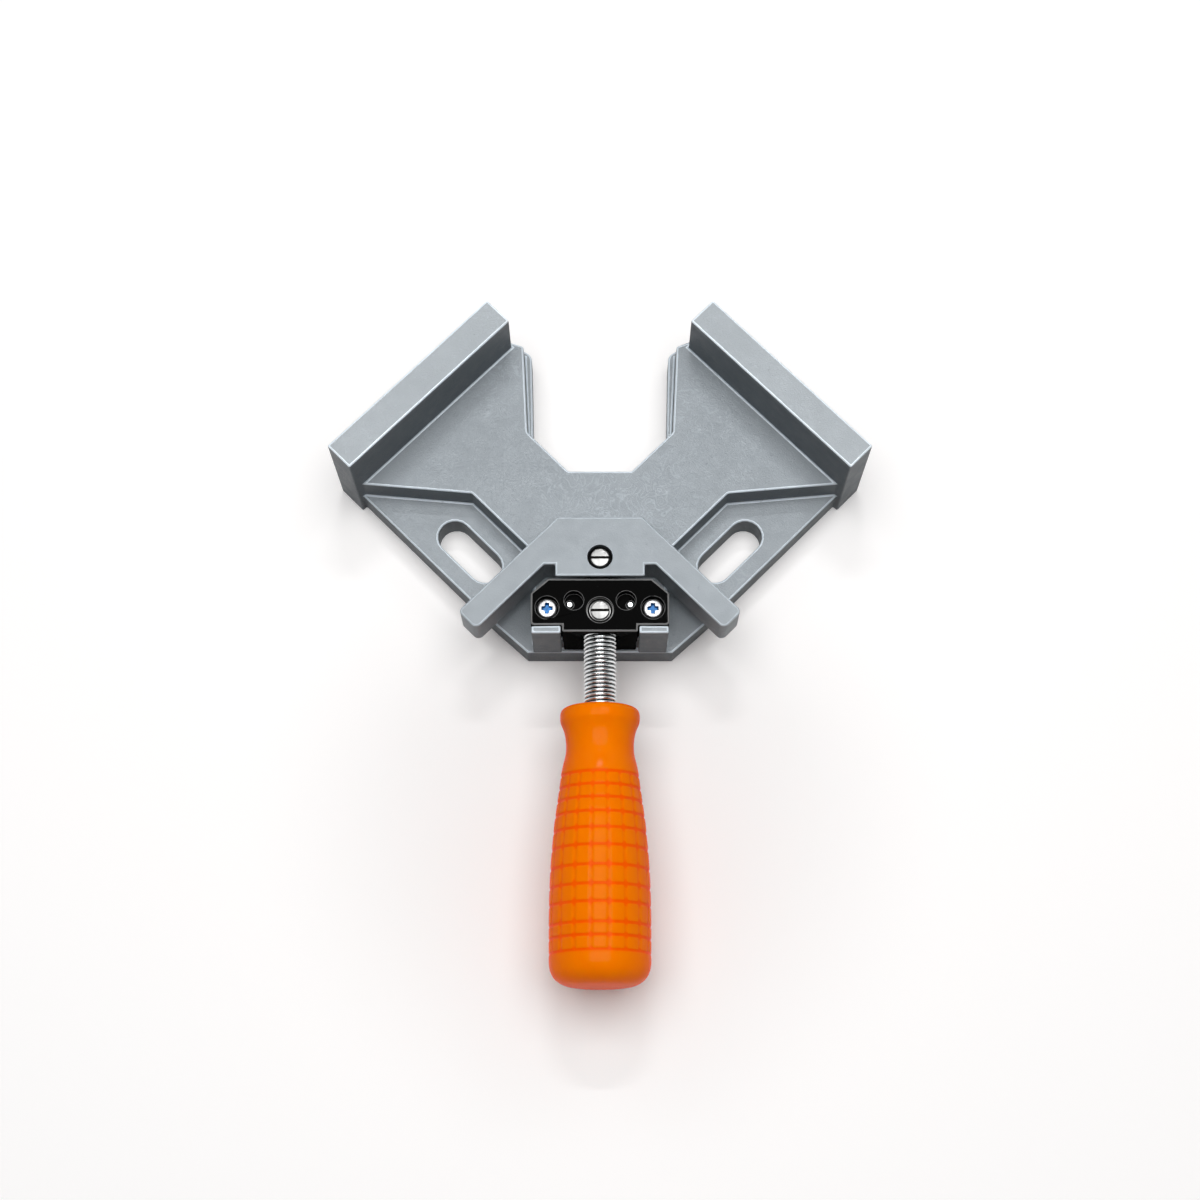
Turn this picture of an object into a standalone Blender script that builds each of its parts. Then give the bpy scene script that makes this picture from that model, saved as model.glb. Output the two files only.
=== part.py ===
"""A 90 degree corner clamp with one screw: a cast base with two fences and a sliding jaw on a swivelling spindle.

Metres, +Z up. The base stands on z = 0, +Y points from the handle to the open corner, and the object is
symmetric about x = 0. The origin is the middle of the footprint. The jaw is shown wound back to its stop.
"""

import math

import bmesh
import bpy
from mathutils import Matrix, Vector

# Base casting: heights
WING_TOP = 0.0108
DECK_TOP = 0.0201
FENCE_TOP = 0.0412
POST_TOP = 0.0334

# Fences: their inner faces lie at 45 degrees and would meet on the middle line, this far in front
FENCE_LENGTH = 0.0670
FENCE_THICKNESS = 0.00971
FENCE_CORNER_Y = 0.12418
FENCE_NEAR_X = 0.07509

# Deck: front cut-out, the arms that run to the fences and the narrow rear under the nut block
CUTOUT_FRONT_Y = 0.0553
CUTOUT_FRONT_HALF = 0.0098
CUTOUT_SIDE_X = 0.02265
CUTOUT_MOUTH_X = 0.0241
CUTOUT_MOUTH_Y = 0.0968
CUTOUT_LEDGE = 0.0017
STEP_CORNER = (0.0395, 0.0481)
STEP_FOOT = (0.0749, 0.0512)
DECK_TOES = ((0.0313, 0.0993), (0.0764, 0.0542))
DECK_REAR_HALF = 0.0201
DECK_REAR_Y = 0.00145
DRAFT = 0.0004

# Wings: the low plate with the two bench slots
WING_REAR_Y = -0.0003
WING_REAR_CORNER = (0.0222, WING_REAR_Y)
WING_SIDE_CORNER = (0.0322, 0.0087)
WING_CORNER_RADIUS = 0.0006
WING_MOUTH_Y = 0.0976
WING_TOES = ((0.0279, 0.1012), (0.0334, 0.1013), (0.0758, 0.0522))
SLOT_WIDTH = 0.0103
SLOT_PITCH = 0.0137
SLOT_FAR = (0.0452, 0.0370)

# Rear posts that the nut block leans on
POST_INNER_X = 0.0117
POST_OUTER_X = 0.0204
POST_FRONT_Y = 0.0020
POST_REAR_Y = WING_REAR_Y + 0.0001
POST_SLANT = 0.0001
POST_FOOT = 0.0020

# Hollows in the underside, with a skin left above them: along the fence from and to, across it from and to
DECK_POCKET_TOP = 0.0154
WING_POCKET_TOP = 0.0070
POCKET_RADIUS = 0.0016
POCKET_DRAFT = 0.0005
ARM_INNER_CELL = (-0.0100, -0.0285, 0.0515, 0.0655)
ARM_OUTER_CELL = (-0.0100, -0.0285, 0.0685, 0.0847)
WING_OUTER_CELL = (0.0125, -0.0015, 0.0668, 0.0845)
WING_INNER_CELL = (0.0135, 0.0045, 0.0255, 0.0365)
MIDDLE_CELL = ((0.0016, 0.0315), (0.0165, 0.0315), (0.0165, 0.0440), (0.0090, 0.0515), (0.0016, 0.0515))

# Nut block
BLOCK_TOP = 0.0329
BLOCK_FRONT_Y = 0.0168
BLOCK_FRONT_HALF = 0.0155
BLOCK_CHAMFER_Y = 0.0123
BLOCK_HALF = 0.0207
BLOCK_REAR_Y = 0.0024
TONGUE_HALF = 0.0113
TONGUE_REAR_Y = 0.0004
BLIND_HOLE = (0.0078, 0.0100)
BLIND_HOLE_RADIUS = 0.00295
BLIND_HOLE_FLOOR = 0.0299
PIN_PLACE = (0.0091, 0.0094)
PIN_RADIUS = 0.0010
PIN_BOTTOM = 0.0135
PIN_TOP = 0.0307
SCREW_PLACE = (0.0158, 0.0078)
SCREW_HEAD_RADIUS = 0.0029
SCREW_HEAD_BOTTOM = 0.0301
SCREW_HEAD_TOP = 0.0322
SCREW_SHANK_RADIUS = 0.0019
SCREW_TIP = 0.0117
CROSS_REACH = 0.0016
CROSS_HALF = 0.00045
CROSS_DEPTH = 0.0015
COUNTERBORE_RADIUS = 0.00355
CHANNEL_REAR_Y = -0.0040
CHANNEL_FRONT_Y = 0.0180
BELOW_BLOCK = 0.0150
ABOVE_BLOCK = 0.0400

# Spindle, swivel nut and jaw pivot share one height
AXIS_Z = 0.0255
NUT_Y = 0.0071
PIVOT_Y = 0.0231
SPINDLE_RADIUS = 0.0049
SPINDLE_SHOULDER_Y = 0.0168
SHANK_RADIUS = 0.0032
JOURNAL_RADIUS = 0.0023
JOURNAL_TIP_Y = 0.0267
JOURNAL_SHOULDER_Y = 0.0187
GROOVE_RADIUS = 0.0015
GROOVE_HALF = 0.0014
SPINDLE_TAIL_Y = -0.0580
TAIL_WING_WIDTH = 0.0122
TAIL_WING_LENGTH = 0.0080
TAIL_WING_HEIGHT = 0.0030
TAIL_WING_INSET = 0.0060
PLAY = 0.0003
RUNNING_PLAY = 0.00035

NUT_RADIUS = 0.00725
NUT_SHOULDER_Z = 0.0289
NUT_NECK_RADIUS = 0.0044
NUT_NECK_TOP = 0.0315
NUT_HEAD_RADIUS = 0.0029
NUT_HEAD_TOP = 0.0326
NUT_FOOT_RADIUS = 0.0030
NUT_FOOT_Z = 0.0167
BUSH_HOLE_RADIUS = 0.0040
SWIVEL_ROOM = 0.00075

# Jaw: a plate with two arms at 45 degrees that rides on the deck
JAW_BOTTOM = 0.0204
JAW_TOP = 0.0345
JAW_FRONT_Y = 0.0357
JAW_FRONT_HALF = 0.0128
ARM_LENGTH = 0.0416
ARM_WIDTH = 0.0078
JAW_REAR_Y = 0.0208
LIP_HALF = 0.0134
LIP_REAR_Y = 0.0172
LIP_BOTTOM = 0.0332
BOSS_RADIUS = 0.0058
PIVOT_RADIUS = 0.0040
PIVOT_BOTTOM = 0.0207
PIVOT_TOP = 0.0318
PIVOT_HOLE_RADIUS = 0.0038
PIVOT_SCREW_RADIUS = 0.0031
PIVOT_SCREW_TOP = 0.0339
PIVOT_THREAD_RADIUS = 0.0013
PIVOT_TIP_RADIUS = 0.0009
WINDOW_SIZE = (0.0081, 0.0070, 0.0072)
WINDOW_OFFSET = -0.0060
SCREW_SLOT_WIDTH = 0.0008
SCREW_SLOT_DEPTH = 0.0008

# Handle: (distance behind its front face, radius) along the grip, the creases pressed round it and their size
HANDLE_FRONT_Y = -0.0215
HANDLE_END_Y = -0.1036
HANDLE_SHAPE = (
    (0.0000, 0.0098), (0.0003, 0.0109), (0.0009, 0.0116), (0.0018, 0.0118), (0.0039, 0.0118), (0.0048, 0.0110),
    (0.0056, 0.0113), (0.0078, 0.0105), (0.0115, 0.0100), (0.0142, 0.0102), (0.0169, 0.0109), (0.0187, 0.0111),
    (0.0223, 0.01175), (0.0262, 0.01227), (0.0306, 0.0129), (0.0351, 0.01347), (0.0401, 0.01391),
    (0.0460, 0.01439), (0.0516, 0.01466), (0.0568, 0.01481), (0.0626, 0.01488), (0.0710, 0.01486),
    (0.0752, 0.01480), (0.0770, 0.0145), (0.0785, 0.0139), (0.0799, 0.0128), (0.0811, 0.0112), (0.0818, 0.0090),
)
CREASES = (0.0208, 0.0247, 0.0286, 0.0328, 0.0376, 0.0427, 0.0485, 0.0540, 0.0591, 0.0649, 0.0686, 0.0728)
CREASE_WIDTH = 0.0009
CREASE_DEPTH = 0.0004
HANDLE_STEPS = 36

EDGE_ROUND = 0.00045
ARC_STEPS = 6
TURN_STEPS = 32


def clear_scene():
    for found in list(bpy.data.objects):
        bpy.data.objects.remove(found, do_unlink=True)


def material(name, colour, roughness, metallic):
    made = bpy.data.materials.new(name)
    made.use_nodes = True
    shader = made.node_tree.nodes["Principled BSDF"]
    shader.inputs["Base Color"].default_value = (*colour, 1.0)
    shader.inputs["Roughness"].default_value = roughness
    shader.inputs["Metallic"].default_value = metallic
    return made


# Outlines

def mirrored(half):
    """A right-hand outline that starts and ends on the middle line, closed by its mirror image."""
    left = [(-x, y, r) for x, y, r in reversed(half) if x > 0]
    return half + left


def rounded(corners):
    """The outline through corners (x, y, radius), with an arc in each corner whose radius isn't zero."""
    outline = []
    count = len(corners)
    for index, (x, y, radius) in enumerate(corners):
        corner = Vector((x, y))
        if radius == 0:
            outline.append(corner)
            continue
        before = (Vector(corners[index - 1][:2]) - corner).normalized()
        after = (Vector(corners[(index + 1) % count][:2]) - corner).normalized()
        half_angle = before.angle(after) / 2
        reach = radius / math.tan(half_angle)
        centre = corner + (before + after).normalized() * radius / math.sin(half_angle)
        first = corner + before * reach - centre
        turn = first.angle_signed(corner + after * reach - centre)
        steps = max(2, round(abs(turn) / (math.pi / 2) * ARC_STEPS))
        for step in range(steps + 1):
            spoke = Vector(first)
            spoke.rotate(Matrix.Rotation(-turn * step / steps, 2))
            outline.append(centre + spoke)
    return outline


def obround(start, end, radius, steps=10):
    """A slot's outline between two centres."""
    start = Vector(start)
    end = Vector(end)
    along = math.atan2(end.y - start.y, end.x - start.x)
    outline = []
    for centre, first in ((end, along - math.pi / 2), (start, along + math.pi / 2)):
        for step in range(steps + 1):
            angle = first + math.pi * step / steps
            outline.append(centre + radius * Vector((math.cos(angle), math.sin(angle))))
    return outline


def grown(outline, distance):
    """The outline moved out by a distance, corners kept sharp. The outline runs anticlockwise."""
    moved = []
    count = len(outline)
    for index, point in enumerate(outline):
        before = (point - outline[index - 1]).normalized()
        after = (outline[(index + 1) % count] - point).normalized()
        out_before = Vector((before.y, -before.x))
        out_after = Vector((after.y, -after.x))
        middle = (out_before + out_after).normalized()
        moved.append(point + middle * distance / middle.dot(out_before))
    return moved


def anticlockwise(outline):
    area = sum(a.x * b.y - b.x * a.y for a, b in zip(outline, outline[1:] + outline[:1]))
    return outline if area > 0 else list(reversed(outline))


# Solids

def new_object(name, mesh_maker, finish=None, parent=None, location=(0, 0, 0)):
    mesh = bpy.data.meshes.new(name)
    maker = bmesh.new()
    mesh_maker(maker)
    bmesh.ops.recalc_face_normals(maker, faces=maker.faces)
    maker.to_mesh(mesh)
    maker.free()
    made = bpy.data.objects.new(name, mesh)
    bpy.context.collection.objects.link(made)
    if finish:
        mesh.materials.append(finish)
    made.parent = parent
    made.location = location
    return made


def add_prism(maker, outline, bottom, top, draft=0.0, lower=None):
    """An outline raised from bottom to top. The lower rim is wider by the draft, or has its own outline."""
    outline = anticlockwise([Vector(point) for point in outline])
    if lower:
        lower = anticlockwise([Vector(point) for point in lower])
    else:
        lower = grown(outline, draft)
    lower_rim = [maker.verts.new((point.x, point.y, bottom)) for point in lower]
    upper_rim = [maker.verts.new((point.x, point.y, top)) for point in outline]
    floor = maker.faces.new(lower_rim)
    lid = maker.faces.new(upper_rim)
    bmesh.ops.bridge_loops(maker, edges=list(floor.edges) + list(lid.edges))
    bmesh.ops.recalc_face_normals(maker, faces=maker.faces)


def prism(name, outline, bottom, top, finish=None, draft=0.0, lower=None, parent=None, location=(0, 0, 0)):
    def maker(mesh):
        add_prism(mesh, outline, bottom, top, draft, lower)

    return new_object(name, maker, finish, parent, location)


def add_turned(maker, profile, axis, steps=TURN_STEPS):
    """A closed profile of (radius, distance along the axis), turned about an axis through the origin."""
    side = Vector((1, 0, 0))
    along = Vector(axis)
    points = [side * radius + along * distance for radius, distance in profile]
    verts = [maker.verts.new(point) for point in points]
    edges = [maker.edges.new(pair) for pair in zip(verts, verts[1:])]
    if profile[0][0] > 0:
        edges.append(maker.edges.new((verts[-1], verts[0])))
    bmesh.ops.spin(
        maker, geom=verts + edges, cent=(0, 0, 0), axis=along, dvec=(0, 0, 0),
        angle=2 * math.pi, steps=steps, use_merge=True, use_duplicate=False,
    )
    bmesh.ops.remove_doubles(maker, verts=maker.verts, dist=1e-6)


def turned(name, profile, axis, finish=None, parent=None, location=(0, 0, 0), steps=TURN_STEPS):
    made = new_object(name, lambda m: add_turned(m, profile, axis, steps), finish, parent, location)
    made.data.shade_smooth()
    made.data.set_sharp_from_angle(angle=math.radians(35))
    return made


def rod(name, radius, bottom, top, finish=None, parent=None, location=(0, 0, 0), steps=TURN_STEPS):
    """A plain upright cylinder."""
    profile = [(0, bottom), (radius, bottom), (radius, top), (0, top)]
    return turned(name, profile, (0, 0, 1), finish, parent, location, steps)


def boolean(target, other, operation):
    change = target.modifiers.new(other.name, "BOOLEAN")
    change.operation = operation
    change.object = other
    other.hide_render = True
    other.display_type = "WIRE"


def cut(target, *cutters):
    for cutter in cutters:
        boolean(target, cutter, "DIFFERENCE")


def join(target, *others):
    for other in others:
        boolean(target, other, "UNION")


def round_edges(target, width=EDGE_ROUND, segments=2, angle=30):
    tidy = target.modifiers.new("tidy", "WELD")
    tidy.merge_threshold = 0.00001
    soften = target.modifiers.new("round edges", "BEVEL")
    soften.width = width
    soften.segments = segments
    soften.limit_method = "ANGLE"
    soften.angle_limit = math.radians(angle)
    soften.use_clamp_overlap = False


def empty(name, location, parent=None):
    made = bpy.data.objects.new(name, None)
    made.empty_display_size = 0.01
    bpy.context.collection.objects.link(made)
    made.parent = parent
    made.location = location
    return made


# Base casting

def along_fence(across, along):
    """A point of the right half, from distances across and along the right fence."""
    half_turn = math.sqrt(0.5)
    return ((across + along) * half_turn, (across - along) * half_turn)


def fence_outline(side):
    inner = FENCE_CORNER_Y * math.sqrt(0.5)
    near = (2 * FENCE_NEAR_X - FENCE_CORNER_Y) * math.sqrt(0.5)
    outer = inner + FENCE_THICKNESS
    far = near - FENCE_LENGTH
    corners = [along_fence(inner, near), along_fence(outer, near), along_fence(outer, far), along_fence(inner, far)]
    return [(side * x, y) for x, y in corners]


def deck_outline():
    return rounded(mirrored([
        (0, CUTOUT_FRONT_Y, 0),
        (CUTOUT_FRONT_HALF, CUTOUT_FRONT_Y, 0.0012),
        (CUTOUT_SIDE_X, CUTOUT_FRONT_Y + CUTOUT_SIDE_X - CUTOUT_FRONT_HALF, 0.0016),
        (CUTOUT_MOUTH_X, CUTOUT_MOUTH_Y, 0),
        (*DECK_TOES[0], 0),
        (*DECK_TOES[1], 0),
        (*STEP_FOOT, 0),
        (*STEP_CORNER, 0.0012),
        (DECK_REAR_HALF, STEP_CORNER[1] - STEP_CORNER[0] + DECK_REAR_HALF, 0.0012),
        (DECK_REAR_HALF, DECK_REAR_Y, 0.0016),
        (0, DECK_REAR_Y, 0),
    ]))


def wing_outline():
    return rounded(mirrored([
        (0, CUTOUT_FRONT_Y + CUTOUT_LEDGE, 0),
        (CUTOUT_FRONT_HALF - 0.7 * CUTOUT_LEDGE, CUTOUT_FRONT_Y + CUTOUT_LEDGE, 0.0012),
        (CUTOUT_SIDE_X - CUTOUT_LEDGE, CUTOUT_FRONT_Y + CUTOUT_SIDE_X - CUTOUT_FRONT_HALF, 0.0016),
        (CUTOUT_MOUTH_X - 1.4 * CUTOUT_LEDGE, WING_MOUTH_Y, 0.0030),
        (*WING_TOES[0], 0),
        (*WING_TOES[1], 0),
        (*WING_TOES[2], 0),
        (*WING_SIDE_CORNER, WING_CORNER_RADIUS),
        (*WING_REAR_CORNER, WING_CORNER_RADIUS),
        (0, WING_REAR_Y, 0),
    ]))


def slot_outline(side):
    step = SLOT_PITCH * math.sqrt(0.5)
    far = (side * SLOT_FAR[0], SLOT_FAR[1])
    near = (side * (SLOT_FAR[0] - step), SLOT_FAR[1] - step)
    return obround(far, near, SLOT_WIDTH / 2)


def post_outline(side):
    """A post's outline. Its front slants a little, so that no two of its faces lie in one plane with the deck's."""
    corners = [
        (POST_INNER_X, POST_REAR_Y), (POST_OUTER_X, POST_REAR_Y),
        (POST_OUTER_X, POST_FRONT_Y), (POST_INNER_X, POST_FRONT_Y + POST_SLANT),
    ]
    return [(side * x, y) for x, y in corners]


def pocket(name, side, corners, top):
    """A hollow in the underside with rounded corners, a little wider at its mouth."""
    outline = rounded([(side * x, y, POCKET_RADIUS) for x, y in corners])
    return prism(name, outline, -0.0010, top, draft=POCKET_DRAFT)


def arm_cell(near, far, inner, outer):
    """A rectangle square to the right fence."""
    return [along_fence(inner, near), along_fence(outer, near), along_fence(outer, far), along_fence(inner, far)]


def pockets():
    """Ribbed cells under the arms, the wings and the middle of the deck, on both sides."""
    cells = {
        "arm_inner": (arm_cell(*ARM_INNER_CELL), DECK_POCKET_TOP),
        "arm_outer": (arm_cell(*ARM_OUTER_CELL), DECK_POCKET_TOP),
        "wing_outer": (arm_cell(*WING_OUTER_CELL), WING_POCKET_TOP),
        "wing_inner": (arm_cell(*WING_INNER_CELL), WING_POCKET_TOP),
        "middle": (MIDDLE_CELL, DECK_POCKET_TOP),
    }
    made = []
    for side, word in ((1, "right"), (-1, "left")):
        for name, (corners, top) in cells.items():
            made.append(pocket(f"{name}_pocket_{word}", side, corners, top))
    return made


def base_casting(finish):
    base = prism("base_casting", wing_outline(), 0, WING_TOP, finish)
    deck = prism("deck_form", deck_outline(), 0.0010, DECK_TOP, draft=DRAFT)
    join(base, deck)
    for side, word in ((1, "right"), (-1, "left")):
        join(base, prism(f"fence_form_{word}", fence_outline(side), 0, FENCE_TOP))
        cut(base, prism(f"slot_form_{word}", slot_outline(side), -0.0010, 0.0300))
    round_edges(base)
    for side, word in ((1, "right"), (-1, "left")):
        post = prism(f"post_form_{word}", post_outline(side), POST_FOOT, POST_TOP)
        round_edges(post)
        join(base, post)
    cut(base, *pockets())
    for side, word in ((1, "right"), (-1, "left")):
        screw_hole = rod(f"screw_hole_{word}", SCREW_SHANK_RADIUS + PLAY, SCREW_TIP - PLAY, 0.0300, steps=16)
        screw_hole.location = (side * SCREW_PLACE[0], SCREW_PLACE[1], 0)
        pin_hole = rod(f"pin_hole_{word}", PIN_RADIUS + PLAY, PIN_BOTTOM - PLAY, 0.0300, steps=12)
        pin_hole.location = (side * PIN_PLACE[0], PIN_PLACE[1], 0)
        cut(base, screw_hole, pin_hole)
    foot_hole = rod("nut_foot_hole", NUT_FOOT_RADIUS + PLAY, NUT_FOOT_Z - PLAY, 0.0300, steps=20)
    foot_hole.location = (0, NUT_Y, 0)
    cut(base, foot_hole)
    return base


# Nut block and what holds it

def block_outline():
    return rounded(mirrored([
        (0, BLOCK_FRONT_Y, 0),
        (BLOCK_FRONT_HALF, BLOCK_FRONT_Y, 0),
        (BLOCK_HALF, BLOCK_CHAMFER_Y, 0),
        (BLOCK_HALF, BLOCK_REAR_Y, 0.0012),
        (TONGUE_HALF, BLOCK_REAR_Y, 0),
        (TONGUE_HALF, TONGUE_REAR_Y, 0.0006),
        (0, TONGUE_REAR_Y, 0),
    ]))


def spindle_channel():
    """The way through the block for the spindle, wide enough for it to swivel with its nut."""
    radius = SPINDLE_RADIUS + RUNNING_PLAY
    outline = obround((-SWIVEL_ROOM, AXIS_Z), (SWIVEL_ROOM, AXIS_Z), radius, steps=12)

    def maker(mesh):
        add_prism(mesh, outline, -CHANNEL_FRONT_Y, -CHANNEL_REAR_Y)
        bmesh.ops.rotate(mesh, verts=mesh.verts, cent=(0, 0, 0), matrix=Matrix.Rotation(math.pi / 2, 3, "X"))

    return new_object("spindle_channel", maker)


def nut_block(finish):
    block = prism("nut_block", block_outline(), DECK_TOP + PLAY, BLOCK_TOP, finish)
    round_edges(block, 0.0004, 2)
    nut_bore = turned("nut_bore", [
        (0, BELOW_BLOCK), (NUT_RADIUS + RUNNING_PLAY, BELOW_BLOCK),
        (NUT_RADIUS + RUNNING_PLAY, NUT_SHOULDER_Z + PLAY), (NUT_NECK_RADIUS + PLAY, NUT_SHOULDER_Z + PLAY),
        (NUT_NECK_RADIUS + PLAY, NUT_NECK_TOP + PLAY), (BUSH_HOLE_RADIUS, NUT_NECK_TOP + PLAY),
        (BUSH_HOLE_RADIUS, ABOVE_BLOCK), (0, ABOVE_BLOCK),
    ], (0, 0, 1), location=(0, NUT_Y, 0))
    cut(block, nut_bore, spindle_channel())
    for side, word in ((1, "right"), (-1, "left")):
        blind = rod(f"blind_hole_{word}", BLIND_HOLE_RADIUS, BLIND_HOLE_FLOOR, ABOVE_BLOCK, steps=24)
        blind.location = (side * BLIND_HOLE[0], BLIND_HOLE[1], 0)
        pin_way = rod(f"pin_way_{word}", PIN_RADIUS + PLAY, BELOW_BLOCK, BLIND_HOLE_FLOOR + PLAY, steps=12)
        pin_way.location = (side * PIN_PLACE[0], PIN_PLACE[1], 0)
        screw_way = turned(f"screw_way_{word}", [
            (0, BELOW_BLOCK), (SCREW_SHANK_RADIUS + PLAY, BELOW_BLOCK),
            (SCREW_SHANK_RADIUS + PLAY, SCREW_HEAD_BOTTOM - PLAY), (COUNTERBORE_RADIUS, SCREW_HEAD_BOTTOM - PLAY),
            (COUNTERBORE_RADIUS, ABOVE_BLOCK), (0, ABOVE_BLOCK),
        ], (0, 0, 1), location=(side * SCREW_PLACE[0], SCREW_PLACE[1], 0), steps=24)
        cut(block, blind, pin_way, screw_way)
    return block


def cross_recess(name, location):
    """The cross in a screw's head."""
    quarter = [(CROSS_HALF, CROSS_HALF), (CROSS_HALF, CROSS_REACH), (-CROSS_HALF, CROSS_REACH)]
    outline = []
    for turn in range(4):
        for point in quarter:
            spoke = Vector(point)
            spoke.rotate(Matrix.Rotation(turn * math.pi / 2, 2))
            outline.append(spoke)
    return prism(name, outline, SCREW_HEAD_TOP - CROSS_DEPTH, ABOVE_BLOCK, location=location)


def block_screw(name, side, finish):
    place = (side * SCREW_PLACE[0], SCREW_PLACE[1], 0)
    screw = turned(name, [
        (0, SCREW_TIP), (SCREW_SHANK_RADIUS * 0.7, SCREW_TIP), (SCREW_SHANK_RADIUS, SCREW_TIP + 0.0006),
        (SCREW_SHANK_RADIUS, SCREW_HEAD_BOTTOM), (SCREW_HEAD_RADIUS, SCREW_HEAD_BOTTOM),
        (SCREW_HEAD_RADIUS, SCREW_HEAD_TOP - 0.0007), (SCREW_HEAD_RADIUS * 0.8, SCREW_HEAD_TOP), (0, SCREW_HEAD_TOP),
    ], (0, 0, 1), finish, location=place, steps=20)
    cut(screw, cross_recess(f"{name}_recess", place))
    return screw


def locating_pin(name, side, finish):
    chamfer = 0.0003
    return turned(name, [
        (0, PIN_BOTTOM), (PIN_RADIUS - chamfer, PIN_BOTTOM), (PIN_RADIUS, PIN_BOTTOM + chamfer),
        (PIN_RADIUS, PIN_TOP - chamfer), (PIN_RADIUS - chamfer, PIN_TOP), (0, PIN_TOP),
    ], (0, 0, 1), finish, location=(side * PIN_PLACE[0], PIN_PLACE[1], 0), steps=12)


# Swivel nut, spindle and jaw pivot

def driver_slot(name, radius, top, parent, centre_z):
    """The slot in the top of a turned piece."""
    def maker(mesh):
        bmesh.ops.create_cube(mesh, size=1)
        bmesh.ops.scale(mesh, verts=mesh.verts, vec=(2.6 * radius, SCREW_SLOT_WIDTH, 2 * SCREW_SLOT_DEPTH))
        bmesh.ops.translate(mesh, verts=mesh.verts, vec=(0, 0, top - centre_z))

    return new_object(name, maker, parent=parent)


def cross_bore(name, radius, parent, half_length=0.0120):
    profile = [(0, -half_length), (radius, -half_length), (radius, half_length), (0, half_length)]
    return turned(name, profile, (0, 1, 0), parent=parent, steps=24)


def swivel_nut(finish, centre):
    profile = [
        (0, NUT_FOOT_Z), (NUT_FOOT_RADIUS, NUT_FOOT_Z), (NUT_FOOT_RADIUS, DECK_TOP + PLAY),
        (NUT_RADIUS, DECK_TOP + PLAY), (NUT_RADIUS, NUT_SHOULDER_Z), (NUT_NECK_RADIUS, NUT_SHOULDER_Z),
        (NUT_NECK_RADIUS, NUT_NECK_TOP), (NUT_HEAD_RADIUS, NUT_NECK_TOP),
        (NUT_HEAD_RADIUS, NUT_HEAD_TOP - 0.0003), (NUT_HEAD_RADIUS - 0.0003, NUT_HEAD_TOP), (0, NUT_HEAD_TOP),
    ]
    profile = [(radius, height - AXIS_Z) for radius, height in profile]
    nut = turned("swivel_nut", profile, (0, 0, 1), finish, centre)
    cut(nut, cross_bore("nut_thread_bore", SPINDLE_RADIUS + PLAY, centre))
    cut(nut, driver_slot("nut_slot", NUT_HEAD_RADIUS, NUT_HEAD_TOP, centre, AXIS_Z))
    return nut


def nut_bush(finish):
    bottom = NUT_NECK_TOP + PLAY
    top = bottom + 0.0006
    inner = NUT_HEAD_RADIUS + PLAY
    outer = BUSH_HOLE_RADIUS - PLAY
    profile = [(inner, bottom), (outer, bottom), (outer, top), (inner, top)]
    return turned("nut_bush", profile, (0, 0, 1), finish, location=(0, NUT_Y, 0))


def pivot_barrel(finish, centre):
    chamfer = 0.0004
    profile = [
        (0, PIVOT_BOTTOM), (PIVOT_RADIUS - chamfer, PIVOT_BOTTOM), (PIVOT_RADIUS, PIVOT_BOTTOM + chamfer),
        (PIVOT_RADIUS, PIVOT_TOP - chamfer), (PIVOT_RADIUS - chamfer, PIVOT_TOP), (0, PIVOT_TOP),
    ]
    profile = [(radius, height - AXIS_Z) for radius, height in profile]
    barrel = turned("jaw_pivot_barrel", profile, (0, 0, 1), finish, centre)
    cut(barrel, cross_bore("journal_bore", JOURNAL_RADIUS + PLAY, centre))
    tapped = rod("pivot_tapped_hole", PIVOT_THREAD_RADIUS + PLAY, 0, 2 * PIVOT_RADIUS, parent=centre, steps=16)
    cut(barrel, tapped)
    return barrel


def pivot_screw(finish, centre):
    """The slotted screw whose tip runs in the groove of the spindle's journal."""
    tip = GROOVE_RADIUS + PLAY
    head_bottom = PIVOT_TOP + PLAY - AXIS_Z
    head_top = PIVOT_SCREW_TOP - AXIS_Z
    chamfer = 0.0003
    screw = turned("jaw_pivot_screw", [
        (0, tip), (PIVOT_TIP_RADIUS, tip), (PIVOT_THREAD_RADIUS, tip + 2 * chamfer),
        (PIVOT_THREAD_RADIUS, head_bottom), (PIVOT_SCREW_RADIUS, head_bottom),
        (PIVOT_SCREW_RADIUS, head_top - chamfer), (PIVOT_SCREW_RADIUS - chamfer, head_top), (0, head_top),
    ], (0, 0, 1), finish, centre, steps=28)
    cut(screw, driver_slot("pivot_slot", PIVOT_SCREW_RADIUS, PIVOT_SCREW_TOP, centre, AXIS_Z))
    return screw


def spindle(finish, centre):
    """The threaded rod, with a grooved journal in front and a flattened tail inside the handle."""
    chamfer = 0.0006
    profile = [
        (0, SPINDLE_TAIL_Y), (SPINDLE_RADIUS, SPINDLE_TAIL_Y), (SPINDLE_RADIUS, SPINDLE_SHOULDER_Y - chamfer),
        (SPINDLE_RADIUS - chamfer, SPINDLE_SHOULDER_Y), (SHANK_RADIUS, SPINDLE_SHOULDER_Y),
        (SHANK_RADIUS, JOURNAL_SHOULDER_Y), (JOURNAL_RADIUS, JOURNAL_SHOULDER_Y),
        (JOURNAL_RADIUS, PIVOT_Y - GROOVE_HALF), (GROOVE_RADIUS, PIVOT_Y - GROOVE_HALF),
        (GROOVE_RADIUS, PIVOT_Y + GROOVE_HALF), (JOURNAL_RADIUS, PIVOT_Y + GROOVE_HALF),
        (JOURNAL_RADIUS, JOURNAL_TIP_Y - 0.0003), (JOURNAL_RADIUS - 0.0003, JOURNAL_TIP_Y), (0, JOURNAL_TIP_Y),
    ]
    profile = [(radius, y - PIVOT_Y) for radius, y in profile]
    made = turned("spindle", profile, (0, 1, 0), finish, centre)
    wings = tail_wings("tail_wings", centre, 0)
    join(made, wings)
    return made


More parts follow.
